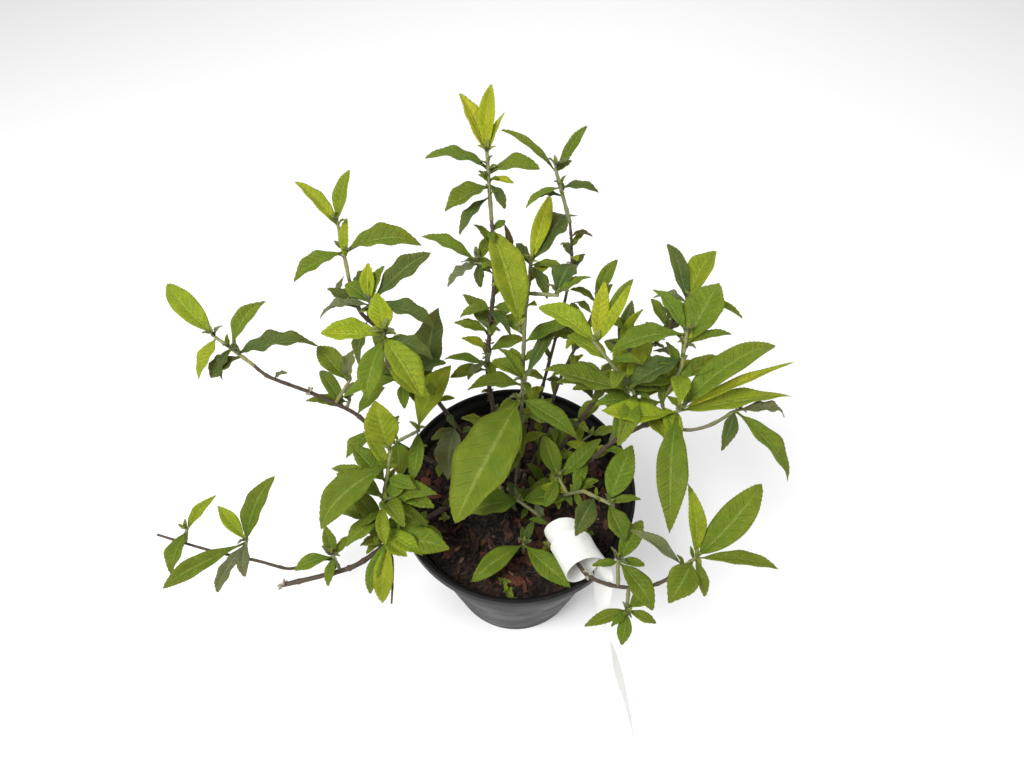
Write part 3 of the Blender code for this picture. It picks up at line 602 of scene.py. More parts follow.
def soil_material():
    """Damp peat: near black crumbs with brown and grey fibres."""
    made, tree, shader = new_material("peat", 0.9, Specular_IOR_Level=0.2)
    tone = attribute(tree, "tone").outputs["Color"]
    crumbs = noise_at(tree, 420, 5).outputs[0]
    patches = noise_at(tree, 60, 3).outputs[0]
    colour = mix(tree, fade(tree, crumbs, 0.42, 0.70), (0.005, 0.004, 0.003, 1), tone)
    colour = mix(tree, fade(tree, patches, 0.52, 0.72, 0.0, 0.4), colour, (0.060, 0.026, 0.015, 1))
    tree.links.new(colour, shader.inputs["Base Color"])
    tree.links.new(fade(tree, crumbs, 0.3, 0.7, 0.7, 0.98), shader.inputs["Roughness"])
    bump(tree, shader, crumbs, 0.9, 0.0012)
    return made


def chip_material():
    """Bark chips and roots: wood grain along each chip's own length."""
    made, tree, shader = new_material("bark_chip", 0.8, Specular_IOR_Level=0.3)
    tone = attribute(tree, "tone").outputs["Color"]
    place = attribute(tree, "place").outputs["Vector"]
    grain = noise_at(tree, 1.0, 4, stretched(tree, place, (3, 26, 8))).outputs[0]
    rot = noise_at(tree, 500, 4).outputs[0]
    dark = mix(tree, 1.0, tone, (0.16, 0.13, 0.12, 1), "MULTIPLY")
    colour = mix(tree, fade(tree, grain, 0.36, 0.62), dark, tone)
    colour = mix(tree, fade(tree, rot, 0.56, 0.72, 0.0, 0.7), colour, dark)
    tree.links.new(colour, shader.inputs["Base Color"])
    bump(tree, shader, calc(tree, "ADD", grain, rot), 0.7, 0.0006)
    return made


def pot_material():
    """Charcoal moulded plastic: satin, faintly mottled, dusty near the soil and the foot."""
    made, tree, shader = new_material("pot_plastic", 0.45, Specular_IOR_Level=0.06)
    where = object_place(tree)
    height = split(tree, where)[2]
    haze = noise_at(tree, 35, 5).outputs[0]
    scuffs = noise_at(tree, 1.0, 3, stretched(tree, where, (60, 60, 900))).outputs[0]
    colour = mix(tree, fade(tree, haze, 0.35, 0.7), (0.011, 0.011, 0.011, 1), (0.017, 0.016, 0.015, 1))
    dust = times(tree, fade(tree, scuffs, 0.56, 0.74), fade(tree, haze, 0.4, 0.7, 0.1, 0.6))
    foot = fade(tree, height, 0.0, 0.022, 0.55, 0.0)
    dust = calc(tree, "MAXIMUM", dust, times(tree, foot, haze))
    colour = mix(tree, times(tree, dust, 0.35), colour, (0.13, 0.118, 0.102, 1))
    tree.links.new(colour, shader.inputs["Base Color"])
    rough = calc(tree, "ADD", fade(tree, haze, 0.3, 0.7, 0.36, 0.5), times(tree, dust, 0.3))
    tree.links.new(rough, shader.inputs["Roughness"])
    grain = noise_at(tree, 2600, 2).outputs[0]
    bump(tree, shader, calc(tree, "ADD", grain, scuffs), 0.16, 0.0003)
    return made


def label_material():
    """Smooth white film, with faint handling marks."""
    made, tree, shader = new_material("label_film", 0.32, Specular_IOR_Level=0.5)
    marks = noise_at(tree, 70, 5).outputs[0]
    colour = mix(tree, fade(tree, marks, 0.5, 0.8, 0.0, 0.6), (0.83, 0.83, 0.80, 1), (0.70, 0.69, 0.64, 1))
    tree.links.new(colour, shader.inputs["Base Color"])
    tree.links.new(fade(tree, marks, 0.3, 0.7, 0.26, 0.42), shader.inputs["Roughness"])
    bump(tree, shader, noise_at(tree, 220, 3).outputs[0], 0.12, 0.0004)
    return made


LEAF = leaf_material()
STEM = stem_material()
PEAT = soil_material()
CHIP = chip_material()
PLASTIC = pot_material()
FILM = label_material()


# The plant

def nearest_on(route, point):
    """The spot on a route nearest to a point, with how far along the route it is, 0 to 1."""
    best = None
    for index, (start, stop) in enumerate(zip(route, route[1:])):
        span = stop - start
        along = max(0.0, min(1.0, (point - start).dot(span) / span.length_squared))
        spot = start + span * along
        if best is None or (spot - point).length < best[0]:
            best = ((spot - point).length, spot, (index + along) / (len(route) - 1))
    return best[1], best[2]


def start_beside(stem, point, own_radius):
    """Where a side branch starts: at its stem's bark, towards the branch's next point."""
    spot, along = nearest_on(stem["curve"], point)
    thick, thin = stem["radii"]
    stem_radius = thick + (thin - thick) * along
    outward = (point - spot).normalized()
    clear = stem_radius if along < 1 else 0
    return spot + outward * (clear + GAP + 0.4 * own_radius)


def lay_stems():
    """Each stem's smooth route and radii, in metres, just as the part lays them."""
    laid = {}
    for name, row in STEMS.items():
        points = [Vector(point) * MM for point in row["route"]]
        radii = tuple(radius * MM for radius in row["radius"])
        if isinstance(row["foot"], str):
            points.insert(0, start_beside(laid[row["foot"]], points[0], radii[0]))
        else:
            x, y = (value * MM for value in row["foot"])
            points.insert(0, Vector((x, y, SOIL_TOP - SOCKET_DEPTH)))
            points.insert(1, Vector((x, y, SOIL_TOP + 0.002)))
        laid[name] = dict(curve=smooth_route(points), radii=radii, bark=row["bark"])
    return laid


def shoot_start(row, laid):
    node = Vector(row["node"]) * MM
    if row["stem"] is None:
        return Vector((node.x, node.y, SOIL_TOP + SOIL_BUMP + 0.001))
    return start_beside(laid[row["stem"]], node, SHOOT_RADIUS)


def outline(t, taper, skew):
    """Half width of a leaf at t from base (0) to tip (1), as a share of its greatest.

    taper is 1 for an oval blade, and more for one that narrows sooner at both ends.
    skew moves the widest place: below 1 towards the base, above 1 towards the tip.
    """
    s = max(0.0, (t - STALK) / (1 - STALK))
    blade = math.sin(math.pi * s ** skew) ** taper
    return max(blade, STALK_WIDTH * (1 - s) ** 0.5)


def add_leaf(shape, base, heading, rise, length, width, look, rng, arch=None):
    """One leaf: an arched, folded and toothed blade with its veins pressed in, closed all round."""
    colour, usual_arch, fold, ruffle, curl = LOOKS[look]
    arch = usual_arch if arch is None else arch
    turn = Matrix.Rotation(math.radians(heading), 3, "Z") @ Matrix.Rotation(math.radians(-rise), 3, "Y")
    forward = turn @ Vector((1, 0, 0))
    sideways = turn @ Vector((0, 1, 0))
    upward = turn @ Vector((0, 0, 1))
    half = width / 2
    stations = max(14, min(56, round(length / MM * 0.85) // 2 * 2))
    sway = rng.uniform(-0.055, 0.055)
    twist = rng.uniform(-0.8, 0.8)
    tip_curl = curl * rng.uniform(0.3, 1.3)
    waves = rng.uniform(2.0, 3.6)
    phases = (rng.uniform(0, TWO_PI), rng.uniform(0, TWO_PI))
    fold *= rng.uniform(0.75, 1.3)
    pleat = min(0.0011, width * 0.055)
    taper = rng.uniform(0.72, 1.1)
    skew = rng.uniform(0.85, 1.15)
    own = vary(colour, rng)
    tipped = vary(LOOKS["gold"][0], rng)
    sides = range(-HALF_CELLS, HALF_CELLS + 1)
    top, bottom, places = [], [], []
    for station in range(stations + 1):
        t = station / stations
        bow = 4 * t * (1 - t)
        near_tip = max(0.0, (t - 0.65) / 0.35)
        middle = base + forward * length * t + upward * (arch * length * bow)
        middle += sideways * (sway * length * bow)
        middle += upward * (tip_curl * length * 0.22 * near_tip ** 2)
        roll = twist * (t - 0.25)
        across_way = sideways * math.cos(roll) + upward * math.sin(roll)
        up_way = upward * math.cos(roll) - sideways * math.sin(roll)
        size = outline(t, taper, skew)
        reach = half * size
        for side in sides:
            u = side / HALF_CELLS
            far = abs(u)
            vein = VEIN_PAIRS * t - VEIN_SLANT * VEIN_PAIRS * far * reach / length
            x = u * reach
            step_on = 0.0
            if far == 1 and 0.12 < t < 0.97:
                x += math.copysign(TOOTH_TIP if station % 2 else TOOTH_FOOT, u)
                step_on = 0.3 * length / stations if station % 2 else 0.0
            wave = math.sin(TWO_PI * waves * t + phases[side > 0])
            z = reach * (fold * far ** 1.3 + ruffle * wave * far ** 2)
            z -= pleat * 0.9 * math.exp(-(u * 5) ** 2) * (1 - t)
            z += pleat * (0.5 - 0.5 * math.cos(TWO_PI * vein)) * 4 * far * (1 - far) * size
            thick = LEAF_THICK * (0.5 if far == 1 else 1.0) * (1.2 - 0.6 * t)
            spot = middle + across_way * x + up_way * z + forward * step_on
            top.append(spot + up_way * thick / 2)
            bottom.append(spot - up_way * (thick / 2 + pleat * math.exp(-(u * 9) ** 2) * (1 - t)))
            places.append((t, u, vein))
    row = len(sides)
    count = len(top)
    faces = []
    for station in range(stations):
        for cell in range(row - 1):
            a = station * row + cell
            faces.append((a, a + row, a + row + 1, a + 1))
            faces.append((count + a, count + a + 1, count + a + row + 1, count + a + row))
        for edge, flip in ((station * row, True), (station * row + row - 1, False)):
            corners = (edge, edge + row, count + edge + row, count + edge)
            faces.append(corners[::-1] if flip else corners)
    for first, flip in ((0, False), (stations * row, True)):
        for cell in range(row - 1):
            corners = (first + cell, first + cell + 1, count + first + cell + 1, count + first + cell)
            faces.append(corners[::-1] if flip else corners)

    def tone(index):
        t, u, _ = places[index % count]
        return blend(own, tipped, 0.12 * t + 0.08 * u * u)

    felted = [0.0] * count + [1.0] * count
    shape.add(top + bottom, [face[::-1] for face in faces], tone, places + places, felted)


def add_young_pair(shape, spot, heading, length, look, rng, rise=60):
    """Two small opposite leaves that stand up close to the stem."""
    for side in (0, 180):
        add_leaf(shape, spot, heading + side + rng.uniform(-15, 15), rise + rng.uniform(-15, 12), length,
                 length * rng.uniform(0.24, 0.34), look, rng)


def add_branch(shape, route, radii, colours, rng, knots=6, sides=10):
    """A stem whose colour and width change along it, swollen where leaves grow or grew."""
    shift = rng.uniform(0, 100)
    count = len(route) - 1

    def radius_at(along, angle):
        radius = radii[0] + (radii[1] - radii[0]) * along
        knot = math.exp(-((along * knots % 1.0 - 0.5) / 0.09) ** 2)
        point = spot_at(route, along)
        rough = noise.noise(point * 900 + Vector((shift, math.cos(angle) * 2, math.sin(angle) * 2)))
        return radius * (0.92 + 0.22 * knot + 0.13 * rough)

    vertices, faces, places = tube(route, radius_at, sides)
    long_places = [(along * count * 0.02, round_share, 0.0) for along, round_share, _ in places]
    shape.add(vertices, faces, lambda index: blend(*colours, places[index][0] ** 1.5), long_places)


def add_scars(shape, stem, route, colour, rng, knots=6):
    """A pair of old leaf scars with a small bud at each swelling, every pair turned a quarter."""
    for knot in range(knots):
        index = round((knot + 0.5) / knots * (len(route) - 1))
        point = route[index]
        ahead = (route[min(index + 1, len(route) - 1)] - route[index - 1]).normalized()
        side = ahead.orthogonal().normalized()
        if knot % 2:
            side = ahead.cross(side)
        thick, thin = stem["radii"]
        radius = thick + (thin - thick) * index / (len(route) - 1)
        for way in (side, -side):
            turn = Matrix((way, ahead.cross(way), ahead)).transposed()
            size = Vector((radius * 0.55, radius * 0.75, radius * 0.9)) * rng.uniform(0.8, 1.2)
            shape.add(*lump(point + way * radius * 0.85, size, turn, rng, 0.12), vary(colour, rng, 0.25))


def build_stems(laid):
    for number, (name, stem) in enumerate(laid.items()):
        rng = random.Random(100 + number)
        shape = Shape()
        route = smooth_route(stem["curve"], 6)
        knots = max(2, round(sum((b - a).length for a, b in zip(route, route[1:])) / 0.017))
        brown = stem["bark"] == "brown"
        if brown:
            colours = (vary(BARK, rng), blend(vary(BARK, rng), BARK_GREY, 0.4))
        else:
            colours = (vary(BARK_GREY, rng), vary(GREEN_STEM, rng))
        thick, thin = stem["radii"]
        radii = (thick * BARK_SWELL, thin * (BARK_SWELL if brown else GREEN_TIP_SWELL))
        add_branch(shape, route, radii, colours, rng, knots)
        add_scars(shape, stem, route, blend(*colours, 0.5), rng, knots)
        settle(shape.make(name + "_stem", STEM), "bark" if brown else "green_stem", "stem_" + name)


def build_shoots(laid):
    green = Shape()
    for number, (name, row) in enumerate(SHOOTS.items()):
        rng = random.Random(500 + number)
        node = Vector(row["node"]) * MM
        start = shoot_start(row, laid)
        toward = (node - start).normalized()
        foot = start - toward * AXIS_SUNK
        tip = node + toward * AXIS_BEYOND
        axis = smooth_route([foot, start.lerp(node, 0.5), node, tip], 6)
        colours = (vary(GREEN_STEM, rng), blend(GREEN_STEM, FELT, 0.3))
        add_branch(green, axis, (AXIS_RADIUS, AXIS_RADIUS * 0.75), colours, rng, 3, 8)
        blades = Shape()
        drops = []
        for heading, rise, length, width, look, *extra in row["leaves"]:
            drop = min(extra[0] * MM, (start - node).length - SHOOT_RADIUS) if extra else 0
            arch = extra[1] if len(extra) > 1 else None
            base = node - toward * drop
            drops.append(drop)
            add_leaf(blades, base, heading, rise, length * MM, width * MM, look, rng, arch)
        young = "bud" if row["leaves"][0][4] in ("gold", "fresh") else "grey"
        turn = rng.uniform(0, 180)
        for pair in range(2):
            size = rng.uniform(0.0065, 0.0105) * (1 - 0.3 * pair)
            add_young_pair(blades, node + toward * (0.001 + 0.0012 * pair), turn + 90 * pair, size,
                           young if pair == 0 else "bud", rng, 52 + 16 * pair)
        for drop in sorted(set(drops))[1:]:
            add_young_pair(blades, node - toward * (drop - 0.001), rng.uniform(0, 180),
                           rng.uniform(0.005, 0.009), rng.choice(("grey", "green")), rng, 48)
        settle(blades.make(name + "_leaves", LEAF), "leaf", "shoot_" + name)
    settle(green.make("shoot_axes", STEM), "green_stem")


# Small leaves in the axils: stem: from share, to share, pairs, shortest mm, longest mm, look
AXIL_LEAVES = {
    "tall": (0.25, 0.95, 12, 8, 22, "green"), "centre": (0.25, 0.97, 10, 10, 30, "green"),
    "back": (0.30, 0.97, 9, 8, 20, "dark"), "back_right": (0.25, 0.97, 8, 9, 26, "green"),
    "left_high": (0.30, 0.97, 10, 10, 28, "dark"), "left_inner": (0.10, 0.97, 8, 10, 32, "green"),
    "left_side": (0.10, 0.97, 10, 12, 34, "green"), "left_low": (0.15, 0.60, 5, 8, 18, "grey"),
    "left_far": (0.15, 0.50, 5, 8, 24, "green"), "right": (0.20, 0.75, 6, 10, 24, "green"),
    "right_high": (0.20, 0.95, 12, 10, 30, "dark"), "right_inner": (0.15, 0.97, 7, 12, 32, "green"),
    "right_up": (0.15, 0.97, 6, 12, 32, "green"), "front_right": (0.15, 0.45, 3, 6, 14, "green"),
    "pot_right": (0.05, 0.95, 6, 10, 26, "green"),
}

# Larger single leaves behind the shoots: stem, share along, heading, rise, mm long, mm wide, look
SIDE_LEAVES = [
    ("left_side", 0.80, 150, 0, 42, 10, "green"), ("left_side", 0.85, 346, -10, 32, 10, "green"),
    ("left_side", 0.98, 338, 5, 20, 9, "green"), ("left_side", 0.68, 225, 0, 16, 6, "green"),
    ("left_side", 0.72, 277, -15, 25, 8, "fresh"), ("left_high", 0.77, 260, -20, 28, 8, "dark"),
    ("left_high", 0.36, 265, -5, 40, 17, "grey"), ("left_far", 0.61, 125, 10, 35, 9, "green"),
    ("left_far", 0.56, 50, 15, 26, 9, "green"), ("left_far", 0.59, 165, 5, 25, 6, "green"),
    ("left_far", 0.40, 185, 5, 20, 9, "green"), ("left_far", 0.46, 225, -15, 26, 12, "green"),
    ("left_low", 0.47, 320, -10, 24, 8, "green"), ("right_high", 0.90, 110, 15, 24, 7, "green"),
    ("right_high", 0.33, 45, 10, 27, 10, "green"), ("right_inner", 0.43, 165, 5, 50, 12, "green"),
    ("right", 0.62, 40, 15, 26, 7, "grey"), ("right", 0.78, 15, 15, 16, 6, "green"),
    ("back_right", 1.0, 55, 15, 22, 7, "fresh"), ("back_right", 0.32, 15, 0, 23, 10, "green"),
    ("back_right", 0.60, 330, 10, 30, 10, "green"), ("back_right", 0.75, 120, 10, 28, 9, "dark"),
    ("tall", 0.45, 200, 10, 26, 9, "green"), ("tall", 0.50, 20, 10, 26, 9, "green"),
    ("tall", 0.62, 300, 5, 24, 8, "dark"), ("tall", 0.75, 150, 5, 24, 8, "dark"),
    ("centre", 0.35, 250, 5, 30, 11, "green"), ("centre", 0.45, 330, 10, 34, 12, "green"),
    ("centre", 0.55, 190, 10, 36, 13, "green"), ("centre", 0.70, 20, 10, 34, 12, "green"),
    ("right_inner", 0.60, 250, 0, 36, 11, "green"), ("right_inner", 0.75, 60, 10, 34, 10, "fresh"),
    ("right_up", 0.50, 180, 10, 36, 11, "green"), ("right_up", 0.70, 20, 10, 34, 11, "green"),
    ("right_high", 0.55, 200, 5, 30, 10, "green"), ("right_high", 0.65, 330, 0, 32, 10, "dark"),
    ("left_inner", 0.50, 200, 0, 36, 11, "green"), ("left_inner", 0.70, 320, 0, 34, 11, "fresh"),
    ("left_high", 0.60, 180, 5, 32, 11, "dark"), ("left_high", 0.68, 340, 0, 30, 10, "green"),
    ("left_side", 0.60, 160, 0, 34, 11, "green"), ("left_side", 0.50, 20, -5, 30, 10, "green"),
]

# Sprouts from the crown: how far out and how high each one reaches, in mm, and its look
CROWN_SPROUTS = [((-20, 36), 172, "dark"), ((26, 38), 174, "green"), ((46, 14), 168, "green"),
                 ((-38, -6), 166, "green"), ((-32, 20), 180, "dark"), ((14, -10), 164, "green"),
                 ((38, -14), 172, "dark"), ((6, 44), 182, "green"), ((54, 30), 176, "green")]


def add_axil_pair(shape, spot, heading, shortest, longest, look, rng):
    for side in (0, 180):
        length = rng.uniform(shortest, longest) * MM
        if rng.random() < 0.85:
            add_leaf(shape, spot, heading + side + rng.uniform(-25, 25), rng.uniform(-10, 45), length,
                     length * rng.uniform(0.30, 0.42), rng.choice((look, look, "green", "fresh")), rng)


def build_axil_leaves(laid):
    """The small leaves that crowd the stems between the large pairs, and the single ones."""
    shape = Shape()
    for number, (name, row) in enumerate(AXIL_LEAVES.items()):
        first, last, pairs, shortest, longest, look = row
        rng = random.Random(800 + number)
        curve = smooth_route(laid[name]["curve"], 6)
        turn = rng.uniform(0, 180)
        for pair in range(pairs):
            share = first + (last - first) * (pair + rng.uniform(0.1, 0.9)) / pairs
            turn += 90 + rng.uniform(-20, 20)
            add_axil_pair(shape, spot_at(curve, share), turn, shortest, longest, look, rng)
    rng = random.Random(830)
    for name, share, heading, rise, length, width, look in SIDE_LEAVES:
        curve = smooth_route(laid[name]["curve"], 6)
        add_leaf(shape, spot_at(curve, share), heading, rise, length * MM, width * MM, look, rng)
    settle(shape.make("axil_leaves", LEAF), "leaf")


def build_crown_sprouts():
    """Young leafy sprouts that come up from the crown, low in the pot."""
    rng = random.Random(34)
    leaves = Shape()
    green = Shape()
    for (x, y), top, look in CROWN_SPROUTS:
        foot = Vector((x * 0.3, 8 + (y - 8) * 0.3, 139)) * MM
        tip = Vector((x, y, top)) * MM
        middle = foot.lerp(tip, 0.5) + Vector((0, 0, 0.006))
        route = smooth_route([foot, middle, tip], 10)
        colours = (vary(BARK_GREY, rng), vary(GREEN_STEM, rng))
        add_branch(green, route, (0.0009, 0.0006), colours, rng, 4, 8)
        turn = rng.uniform(0, 180)
        for share, longest in ((0.5, 15), (0.75, 20), (0.98, 25)):
            turn += 90
            add_axil_pair(leaves, spot_at(route, share), turn, longest * 0.6, longest, look, rng)
        add_young_pair(leaves, tip, turn + 90, 0.008, "bud", rng)
    settle(leaves.make("crown_sprout_leaves", LEAF), "leaf")
    settle(green.make("crown_sprout_stems", STEM), "green_stem")


# Small things on the stems: stem, and share of the way along it
FELTED_BUDS = [("left_high", 0.93), ("left_low", 0.97), ("back", 0.80), ("right_high", 0.88),
               ("tall", 0.88), ("left_far", 0.72), ("front_right", 0.55)]


def build_felted_buds(laid):
    """Grey, woolly young buds in the leaf axils."""
    rng = random.Random(31)
    shape = Shape()
    for name, share in FELTED_BUDS:
        spot = spot_at(laid[name]["curve"], share)
        for _ in range(7):
            way = any_way(rng, 0, 1)
            size = Vector((0.0009, 0.0010, 0.0019)) * rng.uniform(0.7, 1.3)
            turn = way.to_track_quat("Z", "Y").to_matrix()
            shape.add(*lump(spot + way * 0.0024, size, turn, rng, 0.15), vary(FELT, rng))
    settle(shape.make("felted_buds", STEM), "green_stem")


def build_old_flower(laid):
    """The brown seed capsules left of last year's flower, up the tall stem."""
    rng = random.Random(32)
    shape = Shape()
    curve = smooth_route(laid["tall"]["curve"], 8)
    low, high = round(0.34 * len(curve)), round(0.60 * len(curve))
    for _ in range(CAPSULES):
        index = rng.randrange(low, high)
        way = any_way(rng, -0.2, 0.9)
        size = Vector((0.0005, 0.0005, 0.0013)) * rng.uniform(0.7, 1.3)
        turn = way.to_track_quat("Z", "Y").to_matrix()
        colour = blend(BARK, BARK_GREY, rng.random())
        shape.add(*lump(curve[index] + way * rng.uniform(0.0018, 0.0034), size, turn, rng, 0.15), colour)
    settle(shape.make("old_flower_capsules", STEM), "bark")


def build_dried_leaves():
    """Withered leaves that still hang on: place in mm, heading, rise, length, width, look."""
    rng = random.Random(33)
    shape = Shape()
    rows = [((-8, 82, 325), 290, -60, 19, 4, "dead"), ((31, 78, 316), 350, 20, 14, 3, "dead"),
            ((88, 42, 262), 200, -5, 16, 5, "grey"), ((86, 40, 258), 330, 10, 15, 5, "grey"),
            ((-152, 25, 249), 10, 25, 10, 4, "grey"), ((-104, 64, 299), 250, -40, 15, 4, "grey"),
            ((12, -18, 168), 300, -20, 14, 5, "grey"), ((-40, -12, 156), 200, 10, 13, 4, "dead")]
    for place, heading, rise, length, width, look in rows:
        add_leaf(shape, Vector(place) * MM, heading, rise, length * MM, width * MM, look, rng)
    settle(shape.make("dried_leaves", LEAF), "leaf")


# The pot and what is in it

def wall_radius(height):
    """Outside radius of the pot's tapered wall at a height."""
    neck = RIM_RADIUS - LIP_WIDTH
    return BASE_RADIUS + (neck - BASE_RADIUS) * height / POT_HEIGHT


def round_corner(profile, steps=4, reach=0.45, radius=0.0008):
    """Replace each corner of a (radius, height) profile by a short curve."""
    corners = [Vector(point) for point in profile]
    curve = [corners[0]]
    for before, corner, after in zip(corners, corners[1:], corners[2:]):
        start = corner + (before - corner).normalized() * min(radius, (before - corner).length * reach)
        stop = corner + (after - corner).normalized() * min(radius, (after - corner).length * reach)
        for step in range(steps + 1):
            t = step / steps
            curve.append(start * (1 - t) ** 2 + corner * 2 * t * (1 - t) + stop * t ** 2)
    curve.append(corners[-1])
    return [(point.x, point.y) for point in curve]


def build_pot():
    neck_height = POT_HEIGHT - LIP_HEIGHT
    shoulder = neck_height + WALL / 2
    lip_inside = RIM_RADIUS - WALL - 0.0008
    profile = [
        (0, 0), (PAD_RADIUS, 0), (PAD_RADIUS + 0.002, FOOT_RAISE), (FOOT_INNER - 0.002, FOOT_RAISE),
        (FOOT_INNER, 0), (BASE_RADIUS - 0.0005, 0), (BASE_RADIUS, 0.001),
        (wall_radius(neck_height), neck_height), (RIM_RADIUS, neck_height),
        (RIM_RADIUS, POT_HEIGHT), (lip_inside, POT_HEIGHT), (lip_inside, neck_height + 2 * WALL),
        (wall_radius(shoulder) - WALL, shoulder),
        (wall_radius(FOOT_RAISE + FLOOR) - WALL, FOOT_RAISE + FLOOR),
        (0, FOOT_RAISE + FLOOR)]
    shape = Shape()
    vertices, faces = lathe(round_corner(profile), 144)
    shape.add(vertices, faces, POT_BLACK)
    pot = shape.make("nursery_pot", PLASTIC)
    drills = Shape()
    for hole in range(DRAIN_HOLES):
        angle = TWO_PI * (hole + 0.5) / DRAIN_HOLES
        middle = Vector((DRAIN_CIRCLE * math.cos(angle), DRAIN_CIRCLE * math.sin(angle), 0))
        ring, sides = lathe([(0, -0.001), (DRAIN_RADIUS, -0.001), (DRAIN_RADIUS, 0.009), (0, 0.009)], 32)
        drills.add([middle + Vector(spot) for spot in ring], sides, POT_BLACK)
    drill = drills.make("drain_drills", PLASTIC, smooth=False)
    cut = pot.modifiers.new("Drain holes", "BOOLEAN")
    cut.operation = "DIFFERENCE"
    cut.object = drill
    bpy.context.view_layer.update()
    cut_mesh = bpy.data.meshes.new_from_object(pot.evaluated_get(bpy.context.evaluated_depsgraph_get()))
    pot.modifiers.clear()
    pot.data = cut_mesh
    bpy.data.objects.remove(drill, do_unlink=True)
    pot.data.shade_smooth()
    pot.data.set_sharp_from_angle(angle=math.radians(50))
    settle(pot, "pot_plastic", "pot")


def soil_height(x, y):
    """The soil's top, as in the part: low uneven ground that rises a little at the crown."""
    bumps = math.sin(x * 190 + 0.6) * math.cos(y * 160 - 0.4) + 0.5 * math.sin(x * 90 - y * 130)
    crown = 0.0025 * math.exp(-(x * x + (y - 0.008) ** 2) / 0.0009)
    return SOIL_TOP + SOIL_BUMP * 0.5 * bumps + crown


def ground(x, y):
    """The visible crumbly ground on top of that."""
    coarse = noise.fractal(Vector((x, y, 0.3)) * 110, 1.0, 2.0, 3)
    fine = noise.fractal(Vector((x, y, 0.7)) * 480, 0.9, 2.1, 3)
    return soil_height(x, y) + 0.0014 * coarse + 0.0009 * fine


def build_soil():
    rings = 62
    top_radius = wall_radius(SOIL_TOP) - WALL - GAP
    floor_height = FOOT_RAISE + FLOOR + GAP
    profile = [(0, floor_height), (wall_radius(floor_height) - WALL - GAP, floor_height)]
    profile.append((wall_radius(SOIL_TOP - 0.006) - WALL - GAP, SOIL_TOP - 0.006))
    profile += [(top_radius * (rings - ring) / rings, SOIL_TOP) for ring in range(rings)]
    profile.append((0, SOIL_TOP))
    vertices, faces = lathe(profile, 200)
    shaped = [(x, y, ground(x, y)) if z == SOIL_TOP else (x, y, z) for x, y, z in vertices]
    shape = Shape()
    shape.add(shaped, faces, PEAT_BROWN)
    settle(shape.make("peat", PEAT), "soil", "potting_soil")


def somewhere_on_soil(rng, inset=0.004):
    radius = (wall_radius(SOIL_TOP) - WALL - inset) * math.sqrt(rng.random())
    angle = rng.uniform(0, TWO_PI)
    return radius * math.cos(angle), radius * math.sin(angle)


CHIP_COLOURS = [(0.150, 0.052, 0.026), (0.110, 0.040, 0.022), (0.070, 0.030, 0.018), (0.190, 0.078, 0.040),
                (0.045, 0.024, 0.016), (0.240, 0.130, 0.075), (0.120, 0.085, 0.060)]
CHIP_SHARES = [6, 7, 6, 3, 6, 1, 1]
# Outlines of a chip from its underside up: height as a share of its thickness, and reach
CHIP_LEVELS = [(-0.5, 0.82), (-0.15, 1.0), (0.3, 0.97), (0.5, 0.72), (0.52, 0.3)]


def add_chip(shape, rng):
    """A torn flake of bark: a long uneven plate with a broken outline and worn edges."""
    length = rng.choice((rng.uniform(0.003, 0.007), rng.uniform(0.006, 0.015)))
    width = length * rng.uniform(0.25, 0.6)
    thick = rng.uniform(0.0007, 0.0022)
    x, y = somewhere_on_soil(rng, 0.003 + length / 2)
    lie = Matrix.Rotation(rng.uniform(0, TWO_PI), 3, "Z") @ Matrix.Rotation(rng.gauss(0, 0.32), 3, "Y")
    lie = lie @ Matrix.Rotation(rng.gauss(0, 0.4), 3, "X")
    centre = Vector((x, y, ground(x, y) + rng.uniform(-0.0003, 0.0016)))
    corners = 12
    edge = []
    for corner in range(corners):
        angle = TWO_PI * corner / corners
        ragged = 1 + rng.uniform(-0.22, 0.22)
        square = max(abs(math.cos(angle)), abs(math.sin(angle))) ** -0.6
        edge_x = math.cos(angle) * length / 2 * ragged * square
        edge_y = math.sin(angle) * width / 2 * ragged * square
        edge.append((edge_x, edge_y))
    bend = rng.uniform(-0.14, 0.14)
    vertices = []
    places = []
    seed = rng.uniform(0, 9)
    for level, share in CHIP_LEVELS:
        for px, py in edge:
            z = thick * level + bend * px * px / length + thick * rng.uniform(-0.1, 0.1)
            vertices.append(centre + lie @ Vector((px * share, py * share, z)))
            places.append((px * share / 0.006 + seed, py * share / 0.006, seed))
    faces = [tuple(range(corners))[::-1], tuple(range(len(vertices) - corners, len(vertices)))]
    faces += ring_faces(len(CHIP_LEVELS), corners)
    colour = vary(rng.choices(CHIP_COLOURS, CHIP_SHARES)[0], rng, 0.25)
    shape.add(vertices, faces, colour, places)


def build_chips():
    rng = random.Random(41)
    shape = Shape()
    for _ in range(CHIPS):
        add_chip(shape, rng)
    piece = shape.make("bark_chips", CHIP)
    piece.data.set_sharp_from_angle(angle=math.radians(38))
    settle(piece, "soil")


def build_crumbs():
    """Loose crumbs of peat, and a few pale grains."""
    rng = random.Random(42)
    shape = Shape()
    for _ in range(CRUMBS):
        x, y = somewhere_on_soil(rng)
        size = Vector((1, rng.uniform(0.6, 1), rng.uniform(0.5, 0.9))) * rng.uniform(0.0004, 0.0014)
        colour = PALE_GRAIN if rng.random() < 0.02 else CRUMB_BROWN
        vertices, faces = lump(Vector((x, y, ground(x, y) + 0.0003)), size, any_turn(rng), rng)
        shape.add(vertices, faces, vary(colour, rng, 0.3))
    settle(shape.make("peat_crumbs", PEAT), "soil")


